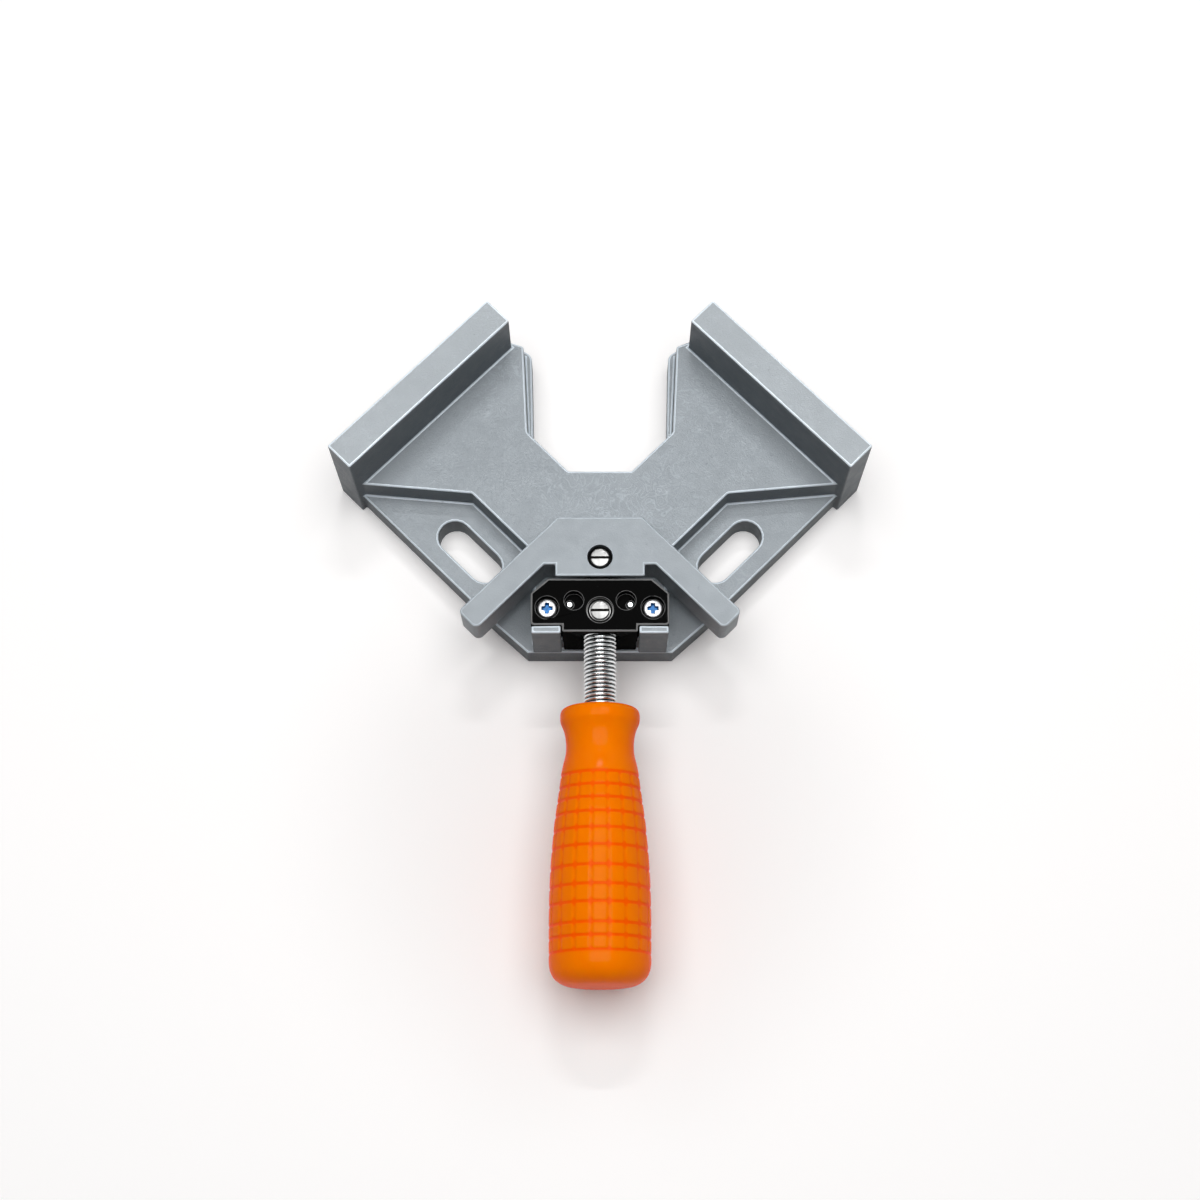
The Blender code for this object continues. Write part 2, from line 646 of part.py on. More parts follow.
def tail_wings(name, parent, room):
    """The pinched tail that keeps the rod from turning in the handle."""
    def maker(mesh):
        bmesh.ops.create_cube(mesh, size=1)
        size = (TAIL_WING_WIDTH + 2 * room, TAIL_WING_LENGTH + 2 * room, TAIL_WING_HEIGHT + 2 * room)
        bmesh.ops.scale(mesh, verts=mesh.verts, vec=size)
        bmesh.ops.translate(mesh, verts=mesh.verts, vec=(0, SPINDLE_TAIL_Y + TAIL_WING_INSET - PIVOT_Y, 0))

    return new_object(name, maker, parent=parent)


# Jaw

def jaw_outline():
    arm_step = ARM_LENGTH * math.sqrt(0.5)
    width_step = ARM_WIDTH * math.sqrt(0.5)
    outer_x = JAW_FRONT_HALF + arm_step
    outer_y = JAW_FRONT_Y - arm_step
    inner_sum = JAW_FRONT_HALF + JAW_FRONT_Y - 2 * width_step
    return rounded(mirrored([
        (0, JAW_FRONT_Y, 0),
        (JAW_FRONT_HALF, JAW_FRONT_Y, 0.0012),
        (outer_x, outer_y, 0.0016),
        (outer_x - width_step, outer_y - width_step, 0.0020),
        (inner_sum - JAW_REAR_Y, JAW_REAR_Y, 0),
        (0, JAW_REAR_Y, 0),
    ]))


def lip_outline():
    return [
        (-LIP_HALF, LIP_REAR_Y), (LIP_HALF, LIP_REAR_Y),
        (LIP_HALF, JAW_REAR_Y + 0.0030), (-LIP_HALF, JAW_REAR_Y + 0.0030),
    ]


def shifted(outline, dy):
    return [(point[0], point[1] + dy) for point in outline]


def jaw_casting(finish, centre):
    bottom = JAW_BOTTOM - AXIS_Z
    top = JAW_TOP - AXIS_Z
    jaw = prism("jaw_casting", shifted(jaw_outline(), -PIVOT_Y), bottom, top, finish, parent=centre)
    lip = prism("lip_form", shifted(lip_outline(), -PIVOT_Y), LIP_BOTTOM - AXIS_Z, top, parent=centre)
    boss = rod("boss_form", BOSS_RADIUS, bottom, top - 0.0006, parent=centre)
    join(jaw, lip)
    round_edges(jaw)
    join(jaw, boss)
    bore_top = PIVOT_TOP + PLAY - AXIS_Z
    bore_radius = PIVOT_RADIUS + PLAY
    bore = turned("pivot_bore", [
        (0, bottom - 0.0020), (bore_radius, bottom - 0.0020), (bore_radius, bore_top), (PIVOT_HOLE_RADIUS, bore_top),
        (PIVOT_HOLE_RADIUS, top + 0.0020), (0, top + 0.0020),
    ], (0, 0, 1), parent=centre)

    def window(mesh):
        bmesh.ops.create_cube(mesh, size=1)
        bmesh.ops.scale(mesh, verts=mesh.verts, vec=WINDOW_SIZE)
        bmesh.ops.translate(mesh, verts=mesh.verts, vec=(0, WINDOW_OFFSET, 0))

    cut(jaw, bore, new_object("journal_window", window, parent=centre))
    return jaw


# Handle

def grip_radius(behind):
    """The grip's radius at a distance behind its front face."""
    for (start, first), (end, last) in zip(HANDLE_SHAPE, HANDLE_SHAPE[1:]):
        if start <= behind <= end:
            return first + (last - first) * (behind - start) / (end - start)
    return HANDLE_SHAPE[-1][1]


def handle_profile():
    """Outer shape of the grip with its creases, from its front face to its rounded end: (radius, y)."""
    points = {behind: radius for behind, radius in HANDLE_SHAPE}
    for crease in CREASES:
        for behind in [known for known in points if abs(known - crease) < CREASE_WIDTH]:
            del points[behind]
    for crease in CREASES:
        for step in (-CREASE_WIDTH / 2, 0, CREASE_WIDTH / 2):
            depth = 0 if step else CREASE_DEPTH
            points[crease + step] = grip_radius(crease + step) - depth
    outer = [(points[behind], HANDLE_FRONT_Y - behind) for behind in sorted(points)]
    return outer + [(0, HANDLE_END_Y)]


def handle_grip(finish, centre):
    bore = SPINDLE_RADIUS + PLAY
    profile = handle_profile()
    closed = [(0, SPINDLE_TAIL_Y - PLAY), (bore, SPINDLE_TAIL_Y - PLAY), (bore, HANDLE_FRONT_Y)] + profile
    closed = [(radius, y - PIVOT_Y) for radius, y in closed]
    grip = turned("handle_grip", closed, (0, 1, 0), finish, centre, steps=HANDLE_STEPS)
    cut(grip, tail_wings("tail_room", centre, PLAY))
    return grip


def main():
    clear_scene()
    cast = material("cast aluminium, grey coat", (0.36, 0.40, 0.44), 0.45, 0.35)
    black = material("black coated steel", (0.012, 0.012, 0.013), 0.22, 0.4)
    bright = material("bright zinc", (0.72, 0.74, 0.76), 0.25, 1.0)
    bearing = material("dark bearing plastic", (0.02, 0.02, 0.02), 0.5, 0.0)
    orange = material("orange plastic", (1.0, 0.19, 0.0), 0.28, 0.0)

    base_casting(cast)
    nut_block(black)
    for side, word in ((1, "right"), (-1, "left")):
        block_screw(f"block_screw_{word}", side, bright)
        locating_pin(f"locating_pin_{word}", side, bright)
    nut_bush(bearing)

    nut_axis = empty("nut_swivel_axis", (0, NUT_Y, AXIS_Z))
    swivel_nut(bright, nut_axis)
    slide = empty("screw_travel_slide", (0, PIVOT_Y - NUT_Y, 0), nut_axis)
    pivot_barrel(bright, slide)
    pivot_screw(bright, slide)
    spindle_axis = empty("spindle_turn_axis", (0, 0, 0), slide)
    spindle(bright, spindle_axis)
    handle_grip(orange, spindle_axis)
    jaw_axis = empty("jaw_swivel_axis", (0, 0, 0), slide)
    jaw_casting(cast, jaw_axis)


main()
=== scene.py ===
"""The looks of a 90 degree corner clamp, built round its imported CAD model.

Metres, +Z up, the base on z = 0, +Y from the handle to the open corner.
"""

import math

import bmesh
import bpy
from mathutils import Matrix, Vector


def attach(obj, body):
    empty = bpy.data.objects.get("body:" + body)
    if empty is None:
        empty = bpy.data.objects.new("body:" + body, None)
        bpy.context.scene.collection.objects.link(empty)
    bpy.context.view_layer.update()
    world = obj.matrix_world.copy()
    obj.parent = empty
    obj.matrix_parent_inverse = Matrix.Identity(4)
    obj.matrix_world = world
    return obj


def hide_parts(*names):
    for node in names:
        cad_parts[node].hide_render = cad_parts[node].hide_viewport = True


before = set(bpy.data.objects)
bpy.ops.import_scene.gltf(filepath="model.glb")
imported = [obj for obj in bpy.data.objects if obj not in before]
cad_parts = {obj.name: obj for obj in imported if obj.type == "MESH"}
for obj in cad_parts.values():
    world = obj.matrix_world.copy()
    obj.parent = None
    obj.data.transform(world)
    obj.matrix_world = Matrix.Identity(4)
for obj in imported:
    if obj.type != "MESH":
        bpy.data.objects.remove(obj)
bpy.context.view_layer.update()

bl_info = {
    "name": "Corner clamp",
    "version": (1, 0, 0),
    "blender": (4, 5, 0),
    "location": "3D View > Sidebar > Clamp",
    "description": "Builds the pieces, finishes and stage of a 90 degree corner clamp",
    "category": "Object",
}

# Shared places of the mechanism
AXIS_Z = 0.0255
NUT_Y = 0.0071
PIVOT_Y = 0.0231
PLAY = 0.0003

# Block screws and pins
SCREW_PLACE = (0.0158, 0.0078)
SCREW_HEAD_RADIUS = 0.0029
SCREW_HEAD_BOTTOM = 0.0301
SCREW_HEAD_TOP = 0.0322
SCREW_SHANK_RADIUS = 0.0019
SCREW_TIP = 0.0117
PIN_PLACE = (0.0091, 0.0094)
PIN_RADIUS = 0.0010
PIN_BOTTOM = 0.0135
PIN_TOP = 0.0307

# A thin plate in the block's black coat, between the posts down to the wings: a dark sheet standing in for shade
SHADE_APRON_SIZE = (0.0220, 0.0008, 0.0120)
SHADE_APRON_PLACE = (0.0, 0.0009, 0.0172)

# Swivel nut and its bush
NUT_RADIUS = 0.00725
NUT_SHOULDER_Z = 0.0289
NUT_NECK_RADIUS = 0.0044
NUT_NECK_TOP = 0.0315
NUT_HEAD_RADIUS = 0.0029
NUT_HEAD_TOP = 0.0326
NUT_FOOT_RADIUS = 0.0030
NUT_FOOT_Z = 0.0167
NUT_BARREL_BOTTOM = 0.0204
BUSH_RADIUS = 0.0037
BUSH_HEIGHT = 0.0006
NUT_BORE_HALF = 0.0120

# Jaw pivot
PIVOT_RADIUS = 0.0040
PIVOT_BOTTOM = 0.0207
PIVOT_TOP = 0.0318
PIVOT_SCREW_RADIUS = 0.0029
PIVOT_SCREW_TOP = 0.0339
PIVOT_THREAD_RADIUS = 0.0013
GROOVE_RADIUS = 0.0015
GROOVE_HALF = 0.0014
PIVOT_BORE_HALF = 0.0090

# Recesses of the screws
CROSS_DEPTH = 0.0013
CROSS_REACH = 0.0023
CROSS_HALF = 0.00095
SLOT_DEPTH = 0.0009

# Spindle
SPINDLE_RADIUS = 0.0049
SPINDLE_SHOULDER_Y = 0.0168
SHANK_RADIUS = 0.0032
JOURNAL_SHOULDER_Y = 0.0187
JOURNAL_RADIUS = 0.0023
JOURNAL_TIP_Y = 0.0267
SPINDLE_TAIL_Y = -0.0580
THREAD_START_Y = -0.0262
THREAD_END_Y = 0.0163
THREAD_CORE_RADIUS = 0.0036
THREAD_OVERLAP = 0.0003
FRONT_COLLAR_RADIUS = 0.0044
TAIL_WING = (0.0122, 0.0080, 0.0030)
TAIL_WING_Y = -0.0520
THREAD_STEPS = 8
THREAD_CREST = 0.32
# Radii between which the thread's painted shade fades, from dark at its roots to bright
THREAD_ROOT_SHADE = (0.00432, 0.0048)

# Heights between which the base's coat turns lighter towards the tops of its fences, a painted highlight
TOP_LIGHT_FROM = 0.0380
TOP_LIGHT_TO = 0.0405

# A face of a rounded edge, which takes the lighter coat of a painted edge highlight: how upright its normal is, and
# how narrow it is
EDGE_FLAT = 0.15
EDGE_STEEP = 0.995
EDGE_WIDTH = 0.00045

# Width of the rim of a flat top that takes the painted edge highlight
RIM = 0.00015

# Grip: (distance behind its front face, radius), and the creases pressed round it
HANDLE_FRONT_Y = -0.0215
HANDLE_END_Y = -0.1036
GRIP_ROOM_RADIUS = 0.0065
GRIP_OUTSIDE = 0.0095
COLLAR = (
    (0.0000, 0.0096), (0.0002, 0.0106), (0.0006, 0.0113), (0.0012, 0.01168), (0.0019, 0.01182), (0.0029, 0.01184),
    (0.0039, 0.01181), (0.0045, 0.01168), (0.0051, 0.01143), (0.0057, 0.01115), (0.0065, 0.01082),
    (0.0079, 0.0104), (0.0096, 0.01012), (0.0115, 0.0100), (0.0130, 0.01005), (0.0142, 0.0102), (0.0156, 0.0105),
    (0.0169, 0.0109), (0.0187, 0.01125), (0.0198, 0.01148), (0.0202, 0.01150),
)
GRIP_SHAPE = (
    (0.0202, 0.0115), (0.0223, 0.01175), (0.0262, 0.01227), (0.0306, 0.0129), (0.0351, 0.01347), (0.0401, 0.01391),
    (0.0460, 0.01439), (0.0516, 0.01466), (0.0568, 0.01481), (0.0626, 0.01488), (0.0710, 0.01486), (0.0752, 0.01480),
)
GRIP_END = (
    (0.0733, 0.01483), (0.0745, 0.01482), (0.0758, 0.01474), (0.0770, 0.01452), (0.0780, 0.0142), (0.0789, 0.01372),
    (0.0798, 0.0130), (0.0805, 0.0121), (0.0811, 0.0111), (0.0815, 0.0100), (0.0818, 0.0085), (0.08205, 0.0050),
    (0.0821, 0.0022),
)
CREASES = (0.0208, 0.0247, 0.0286, 0.0328, 0.0376, 0.0427, 0.0485, 0.0540, 0.0591, 0.0649, 0.0686, 0.0728)
CREASE_HALF = 0.00036
PAD_ROWS = 4
PAD_COUNT = 18
COLUMNS_PER_PAD = 6
PAD_SLOPE = 0.00014
# How much of the painted crease shade the long grooves between the pads take
LONG_GROOVE_SHADE = 0.15

# The photograph's view
CAMERA_PLACE = (0.0, -0.1716, 0.6629)
CAMERA_TILT = 16.09
CAMERA_LENS = 66.0

# Studio: strengths of the world's even light and of the ceiling that glosses see, and the heights it starts between
AMBIENT = 0.02
CEILING = 0.03
CEILING_RISE = (0.10, 0.60)

# Floor: what it sends back to the object between two places on Y, and its own white between two distances
FLOOR_COLOUR = (0.90, 0.885, 0.88)
BOUNCE = (0.19, 0.95)
BOUNCE_Y = (-0.025, -0.070)
LIFT = (0.05, 0.19)
LIFT_REACH = (0.025, 0.115)
LIFT_CENTRE = (0.0, -0.045, 0.0)
FAR_LIFT = (0.0, 0.85)
FAR_REACH = (0.25, 1.60)
FLOOR_HALF = 4.0
FLOOR_DROP = 0.0001

# Lamps: name, place, what it looks at, size, power
LAMPS = (
    ("overhead soft box", (0.0, 0.05, 1.20), (0.0, 0.0, 0.02), (1.10, 0.80), 13.2),
    ("highlight strip", (0.0, 0.54, 0.88), (0.0, -0.04, 0.03), (0.22, 0.014), 1.3),
    ("left soft box", (-0.50, 0.62, 0.62), (0.0, 0.0, 0.02), (0.40, 0.40), 0.4),
    ("right soft box", (0.50, 0.62, 0.62), (0.0, 0.0, 0.02), (0.40, 0.40), 0.45),
)


class ClampSizes(bpy.types.PropertyGroup):
    thread_pitch: bpy.props.FloatProperty(
        name="Thread pitch", description="Distance between two turns of the spindle's thread", default=0.00125,
        min=0.0008, max=0.002, precision=5, unit="LENGTH")
    thread_root: bpy.props.FloatProperty(
        name="Thread root radius", description="Radius of the spindle at the bottom of its thread", default=0.00415,
        min=0.0038, max=0.0047, precision=5, unit="LENGTH")
    pad_height: bpy.props.FloatProperty(
        name="Pad height", description="How far the grip's pads stand above the grooves between them",
        default=0.0002, min=0.0, max=0.0006, precision=5, unit="LENGTH")
    slot_width: bpy.props.FloatProperty(
        name="Driver slot width", description="Width of the slots in the nut's head and the pivot screw",
        default=0.0008, min=0.0005, max=0.0012, precision=5, unit="LENGTH")


class ClampFinish(bpy.types.PropertyGroup):
    casting: bpy.props.FloatVectorProperty(
        name="Casting coat", description="Colour of the grey coat on the base and the jaw",
        default=(0.292, 0.325, 0.353), min=0.0, max=1.0, subtype="COLOR")
    block: bpy.props.FloatVectorProperty(
        name="Block coat", description="Colour of the glossy black coat on the nut block",
        default=(0.0045, 0.0045, 0.0045), min=0.0, max=1.0, subtype="COLOR")
    zinc: bpy.props.FloatVectorProperty(
        name="Zinc", description="Colour of the bright zinc plate on the steel pieces", default=(0.86, 0.885, 0.895),
        min=0.0, max=1.0, subtype="COLOR")
    recess: bpy.props.FloatVectorProperty(
        name="Blue passivation", description="Blue tint that shows in the recesses of the cross-head screws",
        default=(0.006, 0.10, 0.29), min=0.0, max=1.0, subtype="COLOR")
    grip: bpy.props.FloatVectorProperty(
        name="Grip plastic", description="Colour of the moulded grip", default=(1.0, 0.205, 0.0),
        min=0.0, max=1.0, subtype="COLOR")
    # Painted shade: the darker orange that the grip takes in its creases
    groove: bpy.props.FloatVectorProperty(
        name="Grip crease shade", description="Colour of the grip deep in its creases", default=(1.0, 0.105, 0.0),
        min=0.0, max=1.0, subtype="COLOR")


def sizes():
    return bpy.context.scene.clamp_sizes


def finish():
    return bpy.context.scene.clamp_finish


# Materials

class Finish:
    """A Principled material and a few ways to add to it, all on Object coordinates."""

    def __init__(self, name, colour, roughness, metallic=0.0):
        self.material = bpy.data.materials.new(name)
        self.material.use_nodes = True
        self.tree = self.material.node_tree
        self.shader = self.tree.nodes["Principled BSDF"]
        self.shader.inputs["Base Color"].default_value = (*colour, 1.0)
        self.shader.inputs["Roughness"].default_value = roughness
        self.shader.inputs["Metallic"].default_value = metallic
        self.place = self.add("ShaderNodeTexCoord").outputs["Object"]

    def set(self, **values):
        """Sets the shader's own sockets, named with _ for a space."""
        for key, value in values.items():
            self.shader.inputs[key.replace("_", " ")].default_value = value

    def add(self, kind, **values):
        node = self.tree.nodes.new(kind)
        for key, value in values.items():
            setattr(node, key, value)
        return node

    def link(self, output, target):
        self.tree.links.new(output, target)

    def along(self, axis):
        """The place along one axis."""
        split = self.add("ShaderNodeSeparateXYZ")
        self.link(self.place, split.inputs[0])
        return split.outputs[axis]

    def noise(self, scale, detail=4.0, roughness=0.55, stretch=None, distortion=0.0):
        node = self.add("ShaderNodeTexNoise")
        node.inputs["Scale"].default_value = scale
        node.inputs["Detail"].default_value = detail
        node.inputs["Roughness"].default_value = roughness
        node.inputs["Distortion"].default_value = distortion
        place = self.place
        if stretch:
            mapping = self.add("ShaderNodeMapping")
            mapping.inputs["Scale"].default_value = stretch
            self.link(place, mapping.inputs["Vector"])
            place = mapping.outputs["Vector"]
        self.link(place, node.inputs["Vector"])
        return node.outputs["Fac"]

    def ramp(self, factor, low, high, first, last):
        """Maps a factor from low..high to first..last, both numbers or both colours."""
        if isinstance(first, (int, float)):
            node = self.add("ShaderNodeMapRange")
            for key, value in (("From Min", low), ("From Max", high), ("To Min", first), ("To Max", last)):
                node.inputs[key].default_value = value
            self.link(factor, node.inputs["Value"])
            return node.outputs["Result"]
        node = self.add("ShaderNodeValToRGB")
        ends = node.color_ramp.elements
        for end, position, colour in ((ends[0], low, first), (ends[1], high, last)):
            end.position = position
            end.color = (*colour, 1.0)
        self.link(factor, node.inputs["Fac"])
        return node.outputs["Color"]

    def mix(self, factor, first, last, blend="MIX"):
        """Mixes two colour outputs."""
        node = self.add("ShaderNodeMix", data_type="RGBA", blend_type=blend)
        if isinstance(factor, (int, float)):
            node.inputs["Factor"].default_value = factor
        else:
            self.link(factor, node.inputs["Factor"])
        for output, socket in ((first, node.inputs[6]), (last, node.inputs[7])):
            if isinstance(output, tuple):
                socket.default_value = (*output, 1.0)
            else:
                self.link(output, socket)
        return node.outputs[2]

    def calculate(self, first, last, operation="ADD"):
        """One step of arithmetic on outputs or plain numbers."""
        node = self.add("ShaderNodeMath", operation=operation)
        for output, socket in ((first, node.inputs[0]), (last, node.inputs[1])):
            if isinstance(output, (int, float)):
                socket.default_value = output
            else:
                self.link(output, socket)
        return node.outputs[0]

    def bump(self, height, strength, distance, before=None):
        node = self.add("ShaderNodeBump")
        node.inputs["Strength"].default_value = strength
        node.inputs["Distance"].default_value = distance
        self.link(height, node.inputs["Height"])
        if before:
            self.link(before, node.inputs["Normal"])
        return node.outputs["Normal"]

    def colour(self, output):
        self.link(output, self.shader.inputs["Base Color"])

    def roughness(self, output):
        self.link(output, self.shader.inputs["Roughness"])

    def normal(self, output):
        self.link(output, self.shader.inputs["Normal"])


def shade(colour, amount):
    return tuple(min(1.0, channel * amount) for channel in colour)


def cast_coat(name, colour, wrinkle, ior=1.5):
    """A satin grey coat over a die casting: fine wrinkles with lighter specks, faint clouds of tone, lighter lines in
    patches and a few pin pricks; the specks and lines are partly marks in the coat and partly painted glints.

    It is lighter at the height of the fences' tops, a painted highlight. wrinkle is the strength of its relief.
    """
    coat = Finish(name, colour, 0.42, 0.1)
    coat.set(IOR=ior)
    fine = coat.noise(1150, 2.0, 0.6, distortion=1.6)
    clouds = coat.noise(60, 4.0, 0.5)
    tone = coat.ramp(clouds, 0.30, 0.70, shade(colour, 0.96), shade(colour, 1.03))
    # Partly painted glints: lighter specks on the wrinkles' crests and lighter lines in patches, besides the coat's
    # own marks
    speck_and_glint = coat.ramp(fine, 0.58, 0.78, (0.0,) * 3, (0.5 * wrinkle,) * 3)
    light = coat.mix(speck_and_glint, tone, shade(colour, 1.30))
    slow = coat.noise(170, 1.0, 0.4, distortion=1.2)
    lines = coat.calculate(coat.calculate(slow, 60.0, "MULTIPLY"), 0.0, "SINE")
    patch = coat.ramp(coat.noise(26, 2.0, 0.5), 0.48, 0.66, 0.0, wrinkle)
    line_marks_and_glints = coat.calculate(coat.ramp(lines, 0.5, 1.0, 0.0, 0.30), patch, "MULTIPLY")
    light = coat.mix(line_marks_and_glints, light, shade(colour, 1.75))
    # Painted highlight: the coat turns lighter towards the fences' tops
    painted_top_light = coat.ramp(coat.along("Z"), TOP_LIGHT_FROM, TOP_LIGHT_TO, 0.0, 1.0)
    light = coat.mix(painted_top_light, light, coat.mix(1.0, light, (1.28, 1.26, 1.24), "MULTIPLY"))
    pits = coat.ramp(coat.noise(420, 2.0, 0.5), 0.22, 0.28, (0.80,) * 3, (1.0,) * 3)
    coat.colour(coat.mix(1.0, light, pits, "MULTIPLY"))
    coat.roughness(coat.ramp(coat.noise(260, 3.0), 0.3, 0.7, 0.34, 0.48))
    shallow = coat.bump(coat.noise(260, 2.0, 0.5), 0.35 * wrinkle, 0.0003)
    coat.normal(coat.bump(fine, 0.9 * wrinkle, 0.00016, shallow))
    return coat.material


def black_coat(name, colour):
    """Deep black enamel with a slight orange peel and a few dust specks."""
    coat = Finish(name, colour, 0.20)
    coat.set(IOR=1.012)
    coat.colour(coat.ramp(coat.noise(900, 2.0, 0.6), 0.70, 0.80, colour, shade(colour, 4.0)))
    coat.roughness(coat.ramp(coat.noise(180, 4.0), 0.3, 0.7, 0.14, 0.26))
    coat.normal(coat.bump(coat.noise(480, 3.0, 0.5), 0.12, 0.0001))
    return coat.material


def zinc_plate(name, colour, roughness, lines=None, roots=None):
    """Bright zinc. lines is the stretch of its fine tool marks.

    roots are two radii round the spindle's axis, between which the thread's colour turns from dark at its roots to
    bright, painted shade in the thread's hollows.
    """
    plate = Finish(name, colour, roughness, 1.0)
    clouds = plate.noise(160, 4.0, 0.55)
    tone = plate.ramp(clouds, 0.30, 0.72, shade(colour, 0.90), shade(colour, 1.10))
    if roots:
        # Painted shade: the thread darker towards its roots
        across = plate.calculate(plate.along("X"), 2.0, "POWER")
        height = plate.calculate(plate.calculate(plate.along("Z"), -AXIS_Z), 2.0, "POWER")
        radius = plate.calculate(plate.calculate(across, height), 0.5, "POWER")
        painted_root_shade = plate.ramp(radius, *roots, 1.0, 0.0)
        tone = plate.mix(painted_root_shade, tone, shade(colour, 0.05))
    plate.colour(tone)
    marks = plate.noise(900, 3.0, 0.6, stretch=lines)
    plate.roughness(plate.ramp(marks, 0.3, 0.7, roughness * 0.7, roughness * 1.4))
    plate.normal(plate.bump(marks, 0.10, 0.00006))
    return plate.material


def blue_recess(name, colour):
    """The blue passivated floor of a screw's recess."""
    tint = Finish(name, colour, 0.35, 0.4)
    tint.colour(tint.ramp(tint.noise(900, 2.0), 0.35, 0.65, shade(colour, 0.6), shade(colour, 1.5)))
    return tint.material


def grip_plastic(name, colour, groove):
    """Glossy moulded plastic, darker and redder in its creases as painted shade, which the mesh marks in its own
    attribute.
    """
    plastic = Finish(name, colour, 0.16)
    plastic.set(
        IOR=1.12, Subsurface_Weight=0.2, Subsurface_Radius=(0.005, 0.0009, 0.0001), Subsurface_Scale=1.0,
        Sheen_Weight=1.0, Sheen_Roughness=0.5, Sheen_Tint=(1.0, 0.04, 0.0, 1.0))
    depth = plastic.add("ShaderNodeAttribute", attribute_name="crease").outputs["Fac"]
    clouds = plastic.noise(60, 3.0, 0.5)
    tone = plastic.ramp(clouds, 0.30, 0.70, shade(colour, 0.96), shade(colour, 1.04))
    # Painted shade: the grip darker in its creases
    plastic.colour(plastic.mix(depth, tone, groove))
    plastic.roughness(plastic.ramp(plastic.noise(700, 3.0), 0.3, 0.7, 0.07, 0.11))
    plastic.normal(plastic.bump(plastic.noise(420, 3.0, 0.5), 0.03, 0.0001))
    return plastic.material


def dull_plastic(name, colour):
    """A matt dark surface with a fine grain."""
    plastic = Finish(name, colour, 0.5)
    plastic.set(IOR=1.12)
    plastic.colour(plastic.ramp(plastic.noise(500, 3.0), 0.3, 0.7, shade(colour, 0.8), shade(colour, 1.5)))
    plastic.normal(plastic.bump(plastic.noise(1400, 2.0), 0.2, 0.0001))
    return plastic.material


def material(name, maker, *values):
    """The material of that name, made the first time it is asked for."""
    return bpy.data.materials.get(name) or maker(name, *values)


def turned_face():
    """The plate on the two slotted heads, with the marks of the lathe."""
    return material("turned zinc face", zinc_plate, (0.33, 0.33, 0.325), 0.40, (1.0, 0.12, 1.0))


# Shapes

def shown(name, mesh, smooth):
    """An object of that mesh, smooth where its faces meet at less than that many degrees."""
    made = bpy.data.objects.new(name, mesh)
    bpy.context.scene.collection.objects.link(made)
    mesh.shade_smooth()
    mesh.set_sharp_from_angle(angle=math.radians(smooth))
    return made


def new_object(name, build, coat, smooth=40.0):
    """A new object from a function that fills a bmesh."""
    mesh = bpy.data.meshes.new(name)
    maker = bmesh.new()
    build(maker)
    bmesh.ops.recalc_face_normals(maker, faces=maker.faces)
    maker.to_mesh(mesh)
    maker.free()
    mesh.materials.append(coat)
    return shown(name, mesh, smooth)


def settle(made, body, node):
    """Puts a finished piece on its body, in place of its CAD node."""
    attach(made, body)
    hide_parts(node)
    return made


def add_turned(maker, profile, axis, centre, steps=48, start=0.0):
    """A closed profile of (radius, distance along the axis) turned about an axis through the centre."""
    along = Vector(axis)
    side = Vector((1, 0, 0))
    side.rotate(Matrix.Rotation(start, 3, along))
    middle = Vector(centre)
    verts = [maker.verts.new(middle + side * radius + along * distance) for radius, distance in profile]
    edges = [maker.edges.new(pair) for pair in zip(verts, verts[1:])]
    if profile[0][0] > 0:
        edges.append(maker.edges.new((verts[-1], verts[0])))
    bmesh.ops.spin(
        maker, geom=verts + edges, cent=middle, axis=along, dvec=(0, 0, 0), angle=2 * math.pi, steps=steps,
        use_merge=True, use_duplicate=False)
    bmesh.ops.remove_doubles(maker, verts=maker.verts, dist=1e-7)


def add_box(maker, size, centre):
    made = bmesh.ops.create_cube(maker, size=1)
    bmesh.ops.scale(maker, verts=made["verts"], vec=size)
    bmesh.ops.translate(maker, verts=made["verts"], vec=centre)


def rounded_profile(corners, steps=3):
    """A profile through (radius, distance, corner radius), with an arc in each corner that has one."""
    profile = []
    for index, (radius, distance, bend) in enumerate(corners):
        corner = Vector((radius, distance))
        if not bend:
            profile.append((radius, distance))
            continue
        before = (Vector(corners[index - 1][:2]) - corner).normalized()
        after = (Vector(corners[(index + 1) % len(corners)][:2]) - corner).normalized()
        for step in range(steps + 1):
            part = step / steps
            first = corner + before * bend * (1 - part)
            last = corner + after * bend * part
            point = first.lerp(last, part)
            profile.append((point.x, point.y))
    return profile


def fused(name, target, others, smooth=40.0):
    """The target joined with or cut by others, each (object, operation), as one plain mesh object."""
    for other, operation in others:
        change = target.modifiers.new(other.name, "BOOLEAN")
        change.operation = operation
        change.object = other
        change.solver = "EXACT"
        change.material_mode = "TRANSFER"
    bpy.context.view_layer.update()
    seen = target.evaluated_get(bpy.context.evaluated_depsgraph_get())
    mesh = bpy.data.meshes.new_from_object(seen)
    for spent in [target] + [other for other, operation in others]:
        bpy.data.objects.remove(spent, do_unlink=True)
    mesh.name = name
    return shown(name, mesh, smooth)


